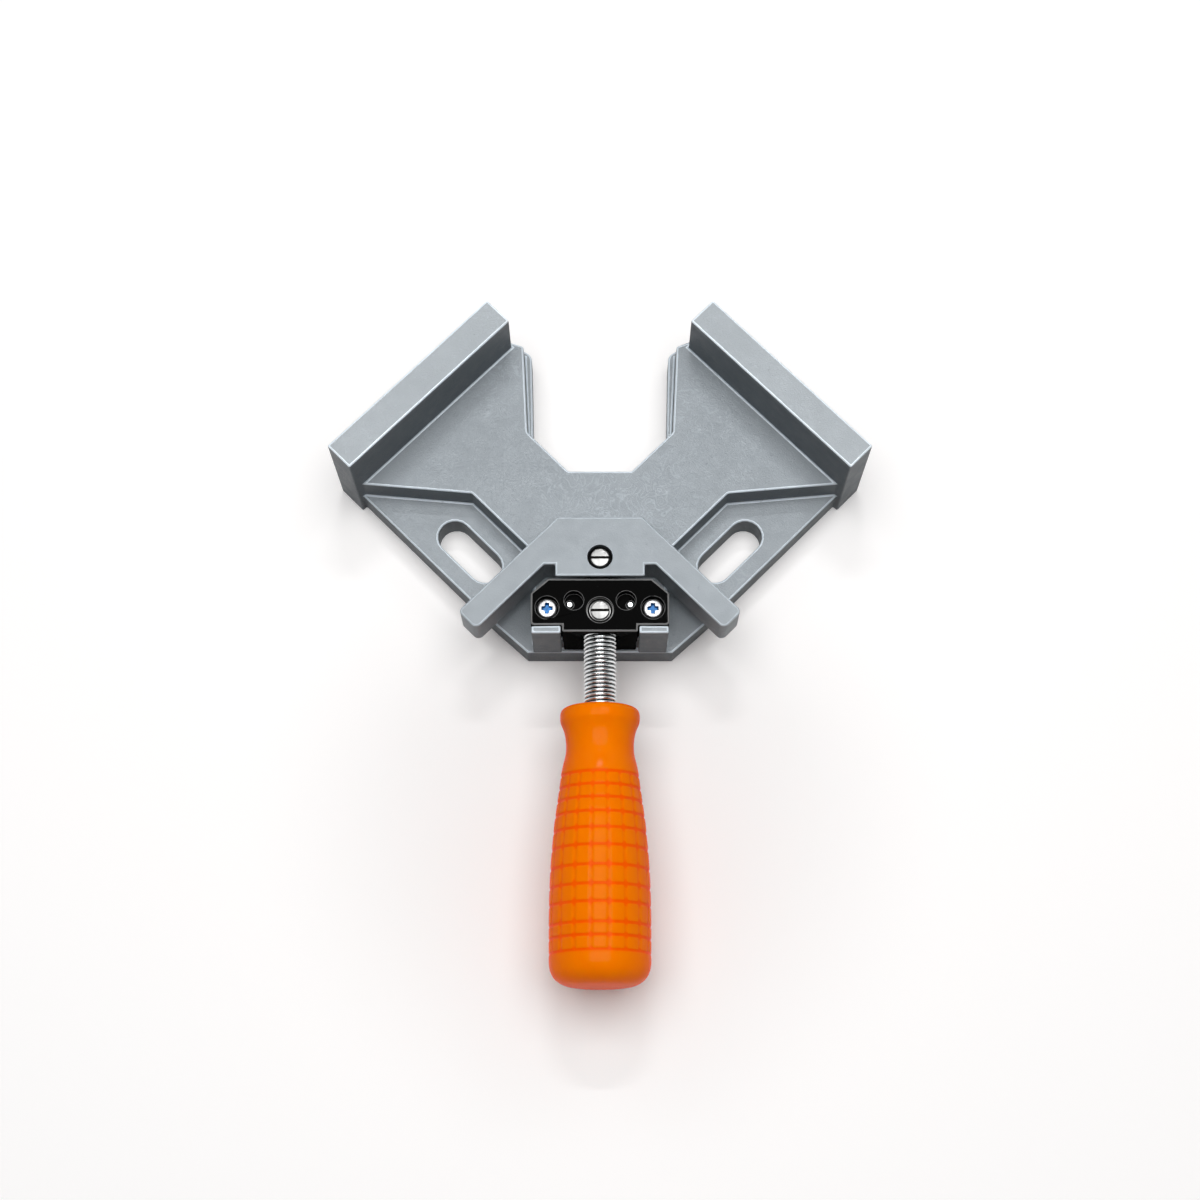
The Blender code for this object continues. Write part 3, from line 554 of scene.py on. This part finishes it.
def merged_copy(node, name, coat, edge, wall=None, smooth=50.0):
    """A merged copy of a CAD node. Its rounded edges and the rims of its tops take a lighter coat, a painted
    highlight, and its walls a darker coat, painted shade.
    """
    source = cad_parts[node].data

    def build(maker):
        maker.from_mesh(source)
        bmesh.ops.remove_doubles(maker, verts=maker.verts, dist=1e-6)
        maker.normal_update()
        tops = [face for face in maker.faces if face.normal.z > EDGE_STEEP]
        rim = bmesh.ops.inset_region(
            maker, faces=tops, thickness=RIM, depth=0.0, use_boundary=True, use_even_offset=True)["faces"]
        for face in rim:
            # Painted highlight: the rim round each flat top takes the lighter edge coat
            face.material_index = 1
        for face in maker.faces:
            face.normal_update()
            slant = abs(face.normal.z)
            width = 2 * face.calc_area() / max(side.calc_length() for side in face.edges)
            # Narrow slanted faces of rounded edges take the painted edge highlight, and upright walls take the painted
            # shade
            if EDGE_FLAT < slant < EDGE_STEEP and width < EDGE_WIDTH:
                face.material_index = 1
            elif wall and slant <= EDGE_FLAT:
                face.material_index = 2

    made = new_object(name, build, coat, smooth)
    made.data.materials.append(edge)
    if wall:
        made.data.materials.append(wall)
    return made


def evenly_shaded(made):
    """Keeps the shading of large flat faces flat beside their rounded edges."""
    made.modifiers.new("even shading", "WEIGHTED_NORMAL").keep_sharp = True
    return made


# Castings and block

class CLAMP_OT_cast_base(bpy.types.Operator):
    """Dress the cast base with its satin grey coat"""
    bl_idname = "clamp.cast_base"
    bl_label = "Cast base"

    def execute(self, context):
        grey = finish().casting[:]
        coat = material("satin grey coat", cast_coat, grey, 1.0)
        # Painted highlight: a coat 2.3 times lighter on the rounded edges and top rims
        edge = material("worn grey edge", cast_coat, shade(grey, 2.3), 0.3)
        # Painted shade: the base's upright walls take the grey coat at 0.62
        wall = material("dark grey wall", cast_coat, shade(grey, 0.62), 0.8, 1.15)
        made = evenly_shaded(merged_copy("base_casting", "base_shell", coat, edge, wall))
        settle(made, "base", "base_casting")
        return {"FINISHED"}


class CLAMP_OT_cast_jaw(bpy.types.Operator):
    """Dress the cast jaw, whose top is smoother than the base's"""
    bl_idname = "clamp.cast_jaw"
    bl_label = "Cast jaw"

    def execute(self, context):
        grey = finish().casting[:]
        coat = material("smooth grey coat", cast_coat, grey, 0.45)
        # Painted highlight: a coat 1.7 times lighter on the jaw's rounded edges and top rims
        edge = material("worn jaw edge", cast_coat, shade(grey, 1.7), 0.3)
        # Painted shade: the jaw's upright walls take the grey coat at 0.85
        wall = material("pale grey wall", cast_coat, shade(grey, 0.85), 0.8, 1.3)
        made = evenly_shaded(merged_copy("jaw_casting", "jaw_shell", coat, edge, wall))
        settle(made, "jaw", "jaw_casting")
        return {"FINISHED"}


class CLAMP_OT_nut_block(bpy.types.Operator):
    """Dress the nut block in deep black and add a thin black plate below its rear, a dark sheet standing in for shade
    """
    bl_idname = "clamp.nut_block"
    bl_label = "Nut block"

    def execute(self, context):
        coat = material("glossy black coat", black_coat, finish().block[:])
        # Painted highlight: a grey coat on the black block's rounded edges and top rims
        edge = material("worn black edge", black_coat, (0.20,) * 3)
        body = merged_copy("nut_block", "block_core", coat, edge)

        def build(maker):
            add_box(maker, SHADE_APRON_SIZE, SHADE_APRON_PLACE)
            bmesh.ops.bevel(
                maker, geom=maker.edges[:], offset=0.0003, affect="EDGES", segments=2, profile=0.5, material=-1)

        # Painted shade: a black sheet on the block's rear, between the posts
        shade_apron = new_object("block_shade_apron", build, coat)
        made = evenly_shaded(fused("block_body", body, [(shade_apron, "UNION")]))
        settle(made, "base", "nut_block")
        return {"FINISHED"}


# Screws, pins, nut and pivot

def add_cross(maker, centre, top):
    """A cross-shaped plug that narrows towards its foot, to cut a screw's recess."""
    narrow = CROSS_HALF * 0.8
    quarter = [(CROSS_HALF, CROSS_HALF), (narrow, CROSS_REACH), (-narrow, CROSS_REACH)]
    outline = []
    for turn in range(4):
        for point in quarter:
            spoke = Vector(point)
            spoke.rotate(Matrix.Rotation(turn * math.pi / 2, 2))
            outline.append((centre[0] + spoke.x, centre[1] + spoke.y, top + CROSS_DEPTH))
    lid = maker.faces.new([maker.verts.new(point) for point in outline])
    grown = bmesh.ops.extrude_face_region(maker, geom=[lid])
    foot = [item for item in grown["geom"] if isinstance(item, bmesh.types.BMVert)]
    middle = Vector((centre[0], centre[1], 0))
    bmesh.ops.translate(maker, verts=foot, vec=(0, 0, -2 * CROSS_DEPTH))
    bmesh.ops.scale(maker, verts=foot, vec=(0.55, 0.55, 1), space=Matrix.Translation(-middle))


class CLAMP_OT_block_screws(bpy.types.Operator):
    """Model the two cross-head screws that hold the block"""
    bl_idname = "clamp.block_screws"
    bl_label = "Block screws"

    def execute(self, context):
        bright = material("bright screw head", zinc_plate, (0.62, 0.62, 0.63), 0.42)
        blue = material("blue recess", blue_recess, finish().recess[:])
        profile = rounded_profile([
            (0, SCREW_TIP, 0), (SCREW_SHANK_RADIUS * 0.7, SCREW_TIP, 0), (SCREW_SHANK_RADIUS, SCREW_TIP + 0.0006, 0),
            (SCREW_SHANK_RADIUS, SCREW_HEAD_BOTTOM, 0), (SCREW_HEAD_RADIUS, SCREW_HEAD_BOTTOM, 0.0002),
            (SCREW_HEAD_RADIUS, SCREW_HEAD_TOP - 0.0003, 0.0006), (0, SCREW_HEAD_TOP, 0),
        ], 4)
        for side, word in ((1, "right"), (-1, "left")):
            place = (side * SCREW_PLACE[0], SCREW_PLACE[1], 0)
            screw = new_object(f"screw_{word}", lambda m: add_turned(m, profile, (0, 0, 1), place), bright)
            cross = new_object(f"cross_{word}", lambda m: add_cross(m, place, SCREW_HEAD_TOP), blue)
            made = fused(f"cross_head_screw_{word}", screw, [(cross, "DIFFERENCE")])
            settle(made, "base", f"block_screw_{word}")
        return {"FINISHED"}


class CLAMP_OT_locating_pins(bpy.types.Operator):
    """Model the two locating pins under the block's plain holes"""
    bl_idname = "clamp.locating_pins"
    bl_label = "Locating pins"

    def execute(self, context):
        profile = rounded_profile([
            (0, PIN_BOTTOM, 0), (PIN_RADIUS, PIN_BOTTOM, 0.0003), (PIN_RADIUS, PIN_TOP, 0.0004), (0, PIN_TOP, 0)], 4)
        coat = material("bright zinc plate", zinc_plate, finish().zinc[:], 0.22)
        for side, word in ((1, "right"), (-1, "left")):
            place = (side * PIN_PLACE[0], PIN_PLACE[1], 0)
            pin = new_object(f"round_pin_{word}", lambda m: add_turned(m, profile, (0, 0, 1), place, 32), coat)
            settle(pin, "base", f"locating_pin_{word}")
        return {"FINISHED"}


def slot_cutter(name, radius, top, centre_y):
    """A bar that cuts a driver slot across a head and gives its floor a near-black coat, painted shade."""
    # Painted shade: the slot's floor is near black
    coat = material("dark slot", dull_plastic, (0.010, 0.009, 0.008))
    size = (2.8 * radius, sizes().slot_width, 2 * SLOT_DEPTH)
    return new_object(name, lambda m: add_box(m, size, (0, centre_y, top)), coat)


def bore_cutter(name, radius, centre_y, half_length, coat):
    """A round bar along the spindle's axis."""
    profile = [(0, -half_length), (radius, -half_length), (radius, half_length), (0, half_length)]
    return new_object(name, lambda m: add_turned(m, profile, (0, 1, 0), (0, centre_y, AXIS_Z), 40), coat)


class CLAMP_OT_swivel_nut(bpy.types.Operator):
    """Model the slotted swivel nut and the dark bush round its head"""
    bl_idname = "clamp.swivel_nut"
    bl_label = "Swivel nut"

    def execute(self, context):
        coat = turned_face()
        profile = rounded_profile([
            (0, NUT_FOOT_Z, 0), (NUT_FOOT_RADIUS, NUT_FOOT_Z, 0.0004), (NUT_FOOT_RADIUS, NUT_BARREL_BOTTOM, 0),
            (NUT_RADIUS, NUT_BARREL_BOTTOM, 0.0004), (NUT_RADIUS, NUT_SHOULDER_Z, 0.0004),
            (NUT_NECK_RADIUS, NUT_SHOULDER_Z, 0), (NUT_NECK_RADIUS, NUT_NECK_TOP, 0.0003),
            (NUT_HEAD_RADIUS, NUT_NECK_TOP, 0), (NUT_HEAD_RADIUS, NUT_HEAD_TOP, 0.0004), (0, NUT_HEAD_TOP + 0.0001, 0),
        ])
        nut = new_object("nut", lambda m: add_turned(m, profile, (0, 0, 1), (0, NUT_Y, 0)), coat)
        bore = bore_cutter("nut_bore", SPINDLE_RADIUS + PLAY, NUT_Y, NUT_BORE_HALF, coat)
        slot = slot_cutter("nut_slot", NUT_HEAD_RADIUS, NUT_HEAD_TOP, NUT_Y)
        made = fused("slotted_nut", nut, [(bore, "DIFFERENCE"), (slot, "DIFFERENCE")])
        settle(made, "nut", "swivel_nut")

        bottom = NUT_NECK_TOP + PLAY
        top = bottom + BUSH_HEIGHT
        inner = NUT_HEAD_RADIUS + PLAY
        ring = rounded_profile([
            (inner, bottom, 0), (BUSH_RADIUS, bottom, 0), (BUSH_RADIUS, top, 0.0002), (inner, top, 0.0002)])
        dark = material("dark bush plastic", dull_plastic, (0.005,) * 3)
        bush = new_object("bush_ring", lambda m: add_turned(m, ring, (0, 0, 1), (0, NUT_Y, 0)), dark)
        settle(bush, "base", "nut_bush")
        return {"FINISHED"}


class CLAMP_OT_jaw_pivot(bpy.types.Operator):
    """Model the jaw's pivot barrel and its slotted screw"""
    bl_idname = "clamp.jaw_pivot"
    bl_label = "Jaw pivot"

    def execute(self, context):
        coat = turned_face()
        place = (0, PIVOT_Y, 0)
        profile = rounded_profile([
            (0, PIVOT_BOTTOM, 0), (PIVOT_RADIUS, PIVOT_BOTTOM, 0.0004), (PIVOT_RADIUS, PIVOT_TOP, 0.0004),
            (0, PIVOT_TOP, 0)])
        # Painted shade: the barrel is near black, so the gap round the pivot screw looks dark
        black = material("blackened steel", dull_plastic, (0.006,) * 3)
        barrel = new_object("barrel", lambda m: add_turned(m, profile, (0, 0, 1), place), black)
        bore = bore_cutter("barrel_bore", JOURNAL_RADIUS + PLAY, PIVOT_Y, PIVOT_BORE_HALF, black)
        inner = PIVOT_THREAD_RADIUS + PLAY
        past = PIVOT_TOP + 0.0020
        hole_profile = [(0, AXIS_Z), (inner, AXIS_Z), (inner, past), (0, past)]
        hole = new_object("barrel_hole", lambda m: add_turned(m, hole_profile, (0, 0, 1), place, 24), black)
        made = fused("pivot_barrel", barrel, [(bore, "DIFFERENCE"), (hole, "DIFFERENCE")])
        settle(made, "jaw_pivot", "jaw_pivot_barrel")

        tip = AXIS_Z + GROOVE_RADIUS + PLAY
        screw_profile = rounded_profile([
            (0, tip, 0), (0.0009, tip, 0), (PIVOT_THREAD_RADIUS, tip + 0.0006, 0),
            (PIVOT_THREAD_RADIUS, PIVOT_TOP + PLAY, 0), (PIVOT_SCREW_RADIUS, PIVOT_TOP + PLAY, 0.0003),
            (PIVOT_SCREW_RADIUS, PIVOT_SCREW_TOP, 0.0004), (0, PIVOT_SCREW_TOP + 0.0001, 0)])
        screw = new_object("pivot_screw", lambda m: add_turned(m, screw_profile, (0, 0, 1), place), coat)
        slot = slot_cutter("pivot_slot", PIVOT_SCREW_RADIUS, PIVOT_SCREW_TOP, PIVOT_Y)
        made = fused("slotted_pivot_screw", screw, [(slot, "DIFFERENCE")])
        settle(made, "jaw_pivot", "jaw_pivot_screw")
        return {"FINISHED"}


# Spindle

def add_thread(maker, start_y, end_y):
    """A right-hand thread: its tooth line is turned once while it moves on by one pitch, so its turns meet.

    THREAD_CREST is the power of the tooth's wave, whose crest is broader the smaller it is.
    """
    pitch = sizes().thread_pitch
    root = sizes().thread_root
    rise = SPINDLE_RADIUS - root
    tooth = []
    for part in range(THREAD_STEPS):
        wave = 0.5 - 0.5 * math.cos(2 * math.pi * part / THREAD_STEPS)
        tooth.append((part / THREAD_STEPS, root + rise * wave ** THREAD_CREST))
    turns = math.ceil((end_y - start_y) / pitch) + 2
    first_y = start_y - 1.5 * pitch
    verts = []
    for turn in range(turns):
        for part, radius in tooth:
            verts.append(maker.verts.new((radius, first_y + (turn + part) * pitch, AXIS_Z)))
    edges = [maker.edges.new(pair) for pair in zip(verts, verts[1:])]
    steps = 40
    bmesh.ops.spin(
        maker, geom=verts + edges, cent=(0, 0, AXIS_Z), axis=(0, 1, 0), dvec=(0, pitch / steps, 0),
        angle=2 * math.pi, steps=steps, use_merge=False, use_duplicate=False)
    bmesh.ops.remove_doubles(maker, verts=maker.verts, dist=1e-6)
    for y, normal in ((start_y, (0, -1, 0)), (end_y, (0, 1, 0))):
        cut = bmesh.ops.bisect_plane(
            maker, geom=maker.verts[:] + maker.edges[:] + maker.faces[:], plane_co=(0, y, 0), plane_no=normal,
            clear_outer=True, clear_inner=False)
        rim = [item for item in cut["geom_cut"] if isinstance(item, bmesh.types.BMEdge)]
        bmesh.ops.contextual_create(maker, geom=rim)


class CLAMP_OT_spindle(bpy.types.Operator):
    """Model the spindle with its right-hand thread, its grooved journal and its pinched tail"""
    bl_idname = "clamp.spindle"
    bl_label = "Spindle"

    def execute(self, context):
        coat = material(
            "zinc plated rod", zinc_plate, finish().zinc[:], 0.24, (0.15, 1.0, 0.15), THREAD_ROOT_SHADE)
        thread = new_object("thread", lambda m: add_thread(m, THREAD_START_Y, THREAD_END_Y), coat, 60.0)
        first = THREAD_START_Y + THREAD_OVERLAP
        last = THREAD_END_Y - THREAD_OVERLAP
        core_profile = rounded_profile([
            (0, SPINDLE_TAIL_Y, 0), (SPINDLE_RADIUS, SPINDLE_TAIL_Y, 0.0005), (SPINDLE_RADIUS, first, 0.0002),
            (THREAD_CORE_RADIUS, first, 0), (THREAD_CORE_RADIUS, last, 0), (FRONT_COLLAR_RADIUS, last, 0),
            (FRONT_COLLAR_RADIUS, SPINDLE_SHOULDER_Y, 0.0002), (SHANK_RADIUS, SPINDLE_SHOULDER_Y, 0),
            (SHANK_RADIUS, JOURNAL_SHOULDER_Y, 0), (JOURNAL_RADIUS, JOURNAL_SHOULDER_Y, 0),
            (JOURNAL_RADIUS, PIVOT_Y - GROOVE_HALF, 0), (GROOVE_RADIUS, PIVOT_Y - GROOVE_HALF, 0),
            (GROOVE_RADIUS, PIVOT_Y + GROOVE_HALF, 0), (JOURNAL_RADIUS, PIVOT_Y + GROOVE_HALF, 0),
            (JOURNAL_RADIUS, JOURNAL_TIP_Y, 0.0003), (0, JOURNAL_TIP_Y, 0),
        ])
        core = new_object("core", lambda m: add_turned(m, core_profile, (0, 1, 0), (0, 0, AXIS_Z), 40), coat)
        wings = new_object("wings", lambda m: add_box(m, TAIL_WING, (0, TAIL_WING_Y, AXIS_Z)), coat)
        made = fused("threaded_spindle", core, [(thread, "UNION"), (wings, "UNION")], 60.0)
        settle(made, "spindle", "spindle")
        return {"FINISHED"}


# Grip

def grip_radius(behind):
    """The radius over the grip's pads at a distance behind its front face."""
    for (start, first), (end, last) in zip(GRIP_SHAPE, GRIP_SHAPE[1:]):
        if start <= behind <= end:
            return first + (last - first) * (behind - start) / (end - start)
    return GRIP_SHAPE[-1][1]


def grip_profile(height):
    """The grip's closed profile, (radius, y). Between the creases it lies lower by the height of the pads."""
    bore = SPINDLE_RADIUS + PLAY
    tail_end = SPINDLE_TAIL_Y - PLAY
    tail_start = TAIL_WING_Y + 0.0050
    profile = [(0, tail_end), (GRIP_ROOM_RADIUS, tail_end), (GRIP_ROOM_RADIUS, tail_start), (bore, tail_start)]
    profile += [(bore, HANDLE_FRONT_Y - 0.0015), (bore + 0.0002, HANDLE_FRONT_Y - 0.0003)]
    profile += [(bore + 0.0005, HANDLE_FRONT_Y), (0.0080, HANDLE_FRONT_Y)]
    profile += [(radius, HANDLE_FRONT_Y - behind) for behind, radius in COLLAR]
    floors = []
    for first, last in zip(CREASES, CREASES[1:]):
        floors += [first - CREASE_HALF, first + CREASE_HALF]
        length = last - first - 2 * CREASE_HALF
        floors += [first + CREASE_HALF + length * row / PAD_ROWS for row in range(1, PAD_ROWS)]
    floors += [CREASES[-1] - CREASE_HALF, CREASES[-1] + 0.4 * CREASE_HALF]
    profile += [(grip_radius(behind) - height, HANDLE_FRONT_Y - behind) for behind in floors]
    profile += [(radius, HANDLE_FRONT_Y - behind) for behind, radius in GRIP_END]
    return profile + [(0, HANDLE_END_Y)]


def pad_faces(maker):
    """The faces that the pads are raised from: between two creases and between two long grooves."""
    step = 360 / PAD_COUNT
    groove = step / COLUMNS_PER_PAD
    found = []
    for face in maker.faces:
        centre = face.calc_center_median()
        behind = HANDLE_FRONT_Y - centre.y
        spoke = Vector((centre.x, centre.z - AXIS_Z))
        if spoke.length < GRIP_OUTSIDE or not CREASES[0] < behind < CREASES[-1]:
            continue
        if any(abs(behind - crease) < CREASE_HALF for crease in CREASES):
            continue
        angle = math.degrees(math.atan2(spoke.x, spoke.y))
        if (angle + (step - groove) / 2) % step < step - groove:
            found.append(face)
    return found


class CLAMP_OT_grip(bpy.types.Operator):
    """Model the moulded grip with its collar, waist, creases and rows of pads"""
    bl_idname = "clamp.grip"
    bl_label = "Grip"

    def execute(self, context):
        height = sizes().pad_height
        coat = material("orange grip plastic", grip_plastic, finish().grip[:], finish().groove[:])
        columns = PAD_COUNT * COLUMNS_PER_PAD

        def build(maker):
            layer = maker.verts.layers.float.new("crease")
            half_column = math.pi / columns
            add_turned(maker, grip_profile(height), (0, 1, 0), (0, 0, AXIS_Z), columns, half_column)
            bmesh.ops.recalc_face_normals(maker, faces=maker.faces)
            for vert in maker.verts:
                behind = HANDLE_FRONT_Y - vert.co.y
                radius = Vector((vert.co.x, vert.co.z - AXIS_Z)).length
                if CREASES[0] - 2 * CREASE_HALF < behind < CREASES[-1] + CREASE_HALF and radius > GRIP_OUTSIDE:
                    near = min(abs(behind - crease) for crease in CREASES)
                    # Painted shade: full in the creases, faint along the long grooves
                    vert[layer] = 1.0 if near < 1.2 * CREASE_HALF else LONG_GROOVE_SHADE
            pads = pad_faces(maker)
            bmesh.ops.inset_region(
                maker, faces=pads, thickness=PAD_SLOPE, depth=height, use_boundary=True, use_even_offset=True)
            for face in pads:
                for vert in face.verts:
                    vert[layer] = 0.0

        grip = new_object("ribbed_grip", build, coat, 180.0)
        soften = grip.modifiers.new("soft edges", "SUBSURF")
        soften.levels = 1
        soften.render_levels = 1
        settle(grip, "spindle", "handle_grip")
        return {"FINISHED"}


# Stage

def smooth_ramp(tree, source, limits, values):
    """Maps an output smoothly from two limits to two values."""
    node = tree.nodes.new("ShaderNodeMapRange")
    node.interpolation_type = "SMOOTHSTEP"
    node.inputs["From Min"].default_value, node.inputs["From Max"].default_value = limits
    node.inputs["To Min"].default_value, node.inputs["To Max"].default_value = values
    tree.links.new(source, node.inputs["Value"])
    return node.outputs["Result"]


def floor_material():
    """A pale floor that takes the object's shadow, a little whiter far out.

    It sends back less light to the castings than the camera sees, and more to the grip.
    """
    made = bpy.data.materials.new("white floor")
    made.use_nodes = True
    tree = made.node_tree
    tree.nodes.clear()
    path = tree.nodes.new("ShaderNodeLightPath")
    pale = tree.nodes.new("ShaderNodeBsdfDiffuse")
    pale.inputs["Color"].default_value = (*FLOOR_COLOUR, 1.0)
    lift = tree.nodes.new("ShaderNodeEmission")
    bounce = tree.nodes.new("ShaderNodeBsdfDiffuse")
    place = tree.nodes.new("ShaderNodeTexCoord").outputs["Object"]
    reach = tree.nodes.new("ShaderNodeVectorMath")
    reach.operation = "DISTANCE"
    reach.inputs[1].default_value = LIFT_CENTRE
    tree.links.new(place, reach.inputs[0])
    split = tree.nodes.new("ShaderNodeSeparateXYZ")
    tree.links.new(place, split.inputs[0])
    whole = tree.nodes.new("ShaderNodeMath")
    tree.links.new(whole.outputs[0], lift.inputs["Strength"])
    for source, limits, values, target in (
            (reach.outputs["Value"], LIFT_REACH, LIFT, whole.inputs[0]),
            (reach.outputs["Value"], FAR_REACH, FAR_LIFT, whole.inputs[1]),
            (split.outputs["Y"], BOUNCE_Y, BOUNCE, bounce.inputs["Color"])):
        tree.links.new(smooth_ramp(tree, source, limits, values), target)
    both = tree.nodes.new("ShaderNodeAddShader")
    pick = tree.nodes.new("ShaderNodeMixShader")
    out = tree.nodes.new("ShaderNodeOutputMaterial")
    tree.links.new(pale.outputs[0], both.inputs[0])
    tree.links.new(lift.outputs[0], both.inputs[1])
    tree.links.new(path.outputs["Is Diffuse Ray"], pick.inputs[0])
    tree.links.new(both.outputs[0], pick.inputs[1])
    tree.links.new(bounce.outputs[0], pick.inputs[2])
    tree.links.new(pick.outputs[0], out.inputs["Surface"])
    return made


def build_world():
    """White for the camera. Glosses see a white horizon under a dark ceiling, and the rest gets a low even light."""
    world = bpy.data.worlds.new("studio")
    bpy.context.scene.world = world
    world.use_nodes = True
    tree = world.node_tree
    tree.nodes.clear()

    def background(colour, strength):
        node = tree.nodes.new("ShaderNodeBackground")
        node.inputs["Color"].default_value = (*colour, 1.0)
        node.inputs["Strength"].default_value = strength
        return node

    def pick(factor, first, last):
        node = tree.nodes.new("ShaderNodeMixShader")
        tree.links.new(factor, node.inputs[0])
        tree.links.new(first, node.inputs[1])
        tree.links.new(last, node.inputs[2])
        return node.outputs[0]

    path = tree.nodes.new("ShaderNodeLightPath")
    split = tree.nodes.new("ShaderNodeSeparateXYZ")
    tree.links.new(tree.nodes.new("ShaderNodeTexCoord").outputs["Generated"], split.inputs[0])
    ceiling = background((1.0, 1.0, 1.0), 1.0)
    height = smooth_ramp(tree, split.outputs["Z"], CEILING_RISE, (1.0, CEILING))
    tree.links.new(height, ceiling.inputs["Strength"])
    dim = background((0.96, 0.98, 1.0), AMBIENT)
    white = background((1.0, 1.0, 1.0), 1.0)
    seen = pick(path.outputs["Is Glossy Ray"], dim.outputs[0], ceiling.outputs[0])
    seen = pick(path.outputs["Is Transmission Ray"], seen, white.outputs[0])
    seen = pick(path.outputs["Is Camera Ray"], seen, white.outputs[0])
    out = tree.nodes.new("ShaderNodeOutputWorld")
    tree.links.new(seen, out.inputs["Surface"])


def add_lamp(name, place, aim, size, power):
    """A rectangular area lamp turned to what it looks at."""
    data = bpy.data.lights.new(name, "AREA")
    data.shape = "RECTANGLE"
    data.size, data.size_y = size
    data.energy = power
    made = bpy.data.objects.new(name, data)
    made.location = place
    made.rotation_euler = (Vector(aim) - Vector(place)).to_track_quat("-Z", "Y").to_euler()
    bpy.context.scene.collection.objects.link(made)


class CLAMP_OT_stage(bpy.types.Operator):
    """Set the white floor, the soft lamps and the camera at the photograph's angle"""
    bl_idname = "clamp.stage"
    bl_label = "Stage"

    def execute(self, context):
        scene = context.scene

        def build(maker):
            bmesh.ops.create_grid(maker, x_segments=1, y_segments=1, size=FLOOR_HALF)
            bmesh.ops.translate(maker, verts=maker.verts, vec=(0, 0, -FLOOR_DROP))

        floor = new_object("floor", build, floor_material())
        build_world()
        for values in LAMPS:
            add_lamp(*values)

        data = bpy.data.cameras.new("photo camera")
        data.lens = CAMERA_LENS
        data.sensor_width = 36.0
        data.clip_start = 0.01
        camera = bpy.data.objects.new("photo camera", data)
        camera.location = CAMERA_PLACE
        camera.rotation_euler = (math.radians(CAMERA_TILT), 0.0, 0.0)
        scene.collection.objects.link(camera)
        scene.camera = camera
        scene.view_settings.view_transform = "Standard"
        return {"FINISHED"}


class CLAMP_PT_panel(bpy.types.Panel):
    """Lists the clamp's sizes, finishes and pieces"""
    bl_idname = "CLAMP_PT_panel"
    bl_label = "Corner clamp"
    bl_space_type = "VIEW_3D"
    bl_region_type = "UI"
    bl_category = "Clamp"

    def draw(self, context):
        layout = self.layout
        for group in (context.scene.clamp_sizes, context.scene.clamp_finish):
            box = layout.box()
            for key in group.__annotations__:
                box.prop(group, key)
        for made in PIECES:
            layout.operator(made.bl_idname)


PIECES = (
    CLAMP_OT_cast_base, CLAMP_OT_cast_jaw, CLAMP_OT_nut_block, CLAMP_OT_block_screws, CLAMP_OT_locating_pins,
    CLAMP_OT_swivel_nut, CLAMP_OT_jaw_pivot, CLAMP_OT_spindle, CLAMP_OT_grip, CLAMP_OT_stage,
)
CLASSES = (ClampSizes, ClampFinish, *PIECES, CLAMP_PT_panel)


def register():
    for made in CLASSES:
        bpy.utils.register_class(made)
    bpy.types.Scene.clamp_sizes = bpy.props.PointerProperty(type=ClampSizes)
    bpy.types.Scene.clamp_finish = bpy.props.PointerProperty(type=ClampFinish)


def unregister():
    del bpy.types.Scene.clamp_finish
    del bpy.types.Scene.clamp_sizes
    for made in reversed(CLASSES):
        bpy.utils.unregister_class(made)


def main():
    register()
    bpy.ops.clamp.cast_base()
    bpy.ops.clamp.cast_jaw()
    bpy.ops.clamp.nut_block()
    bpy.ops.clamp.block_screws()
    bpy.ops.clamp.locating_pins()
    bpy.ops.clamp.swivel_nut()
    bpy.ops.clamp.jaw_pivot()
    bpy.ops.clamp.spindle()
    bpy.ops.clamp.grip()
    bpy.ops.clamp.stage()


if __name__ == "__main__":
    main()
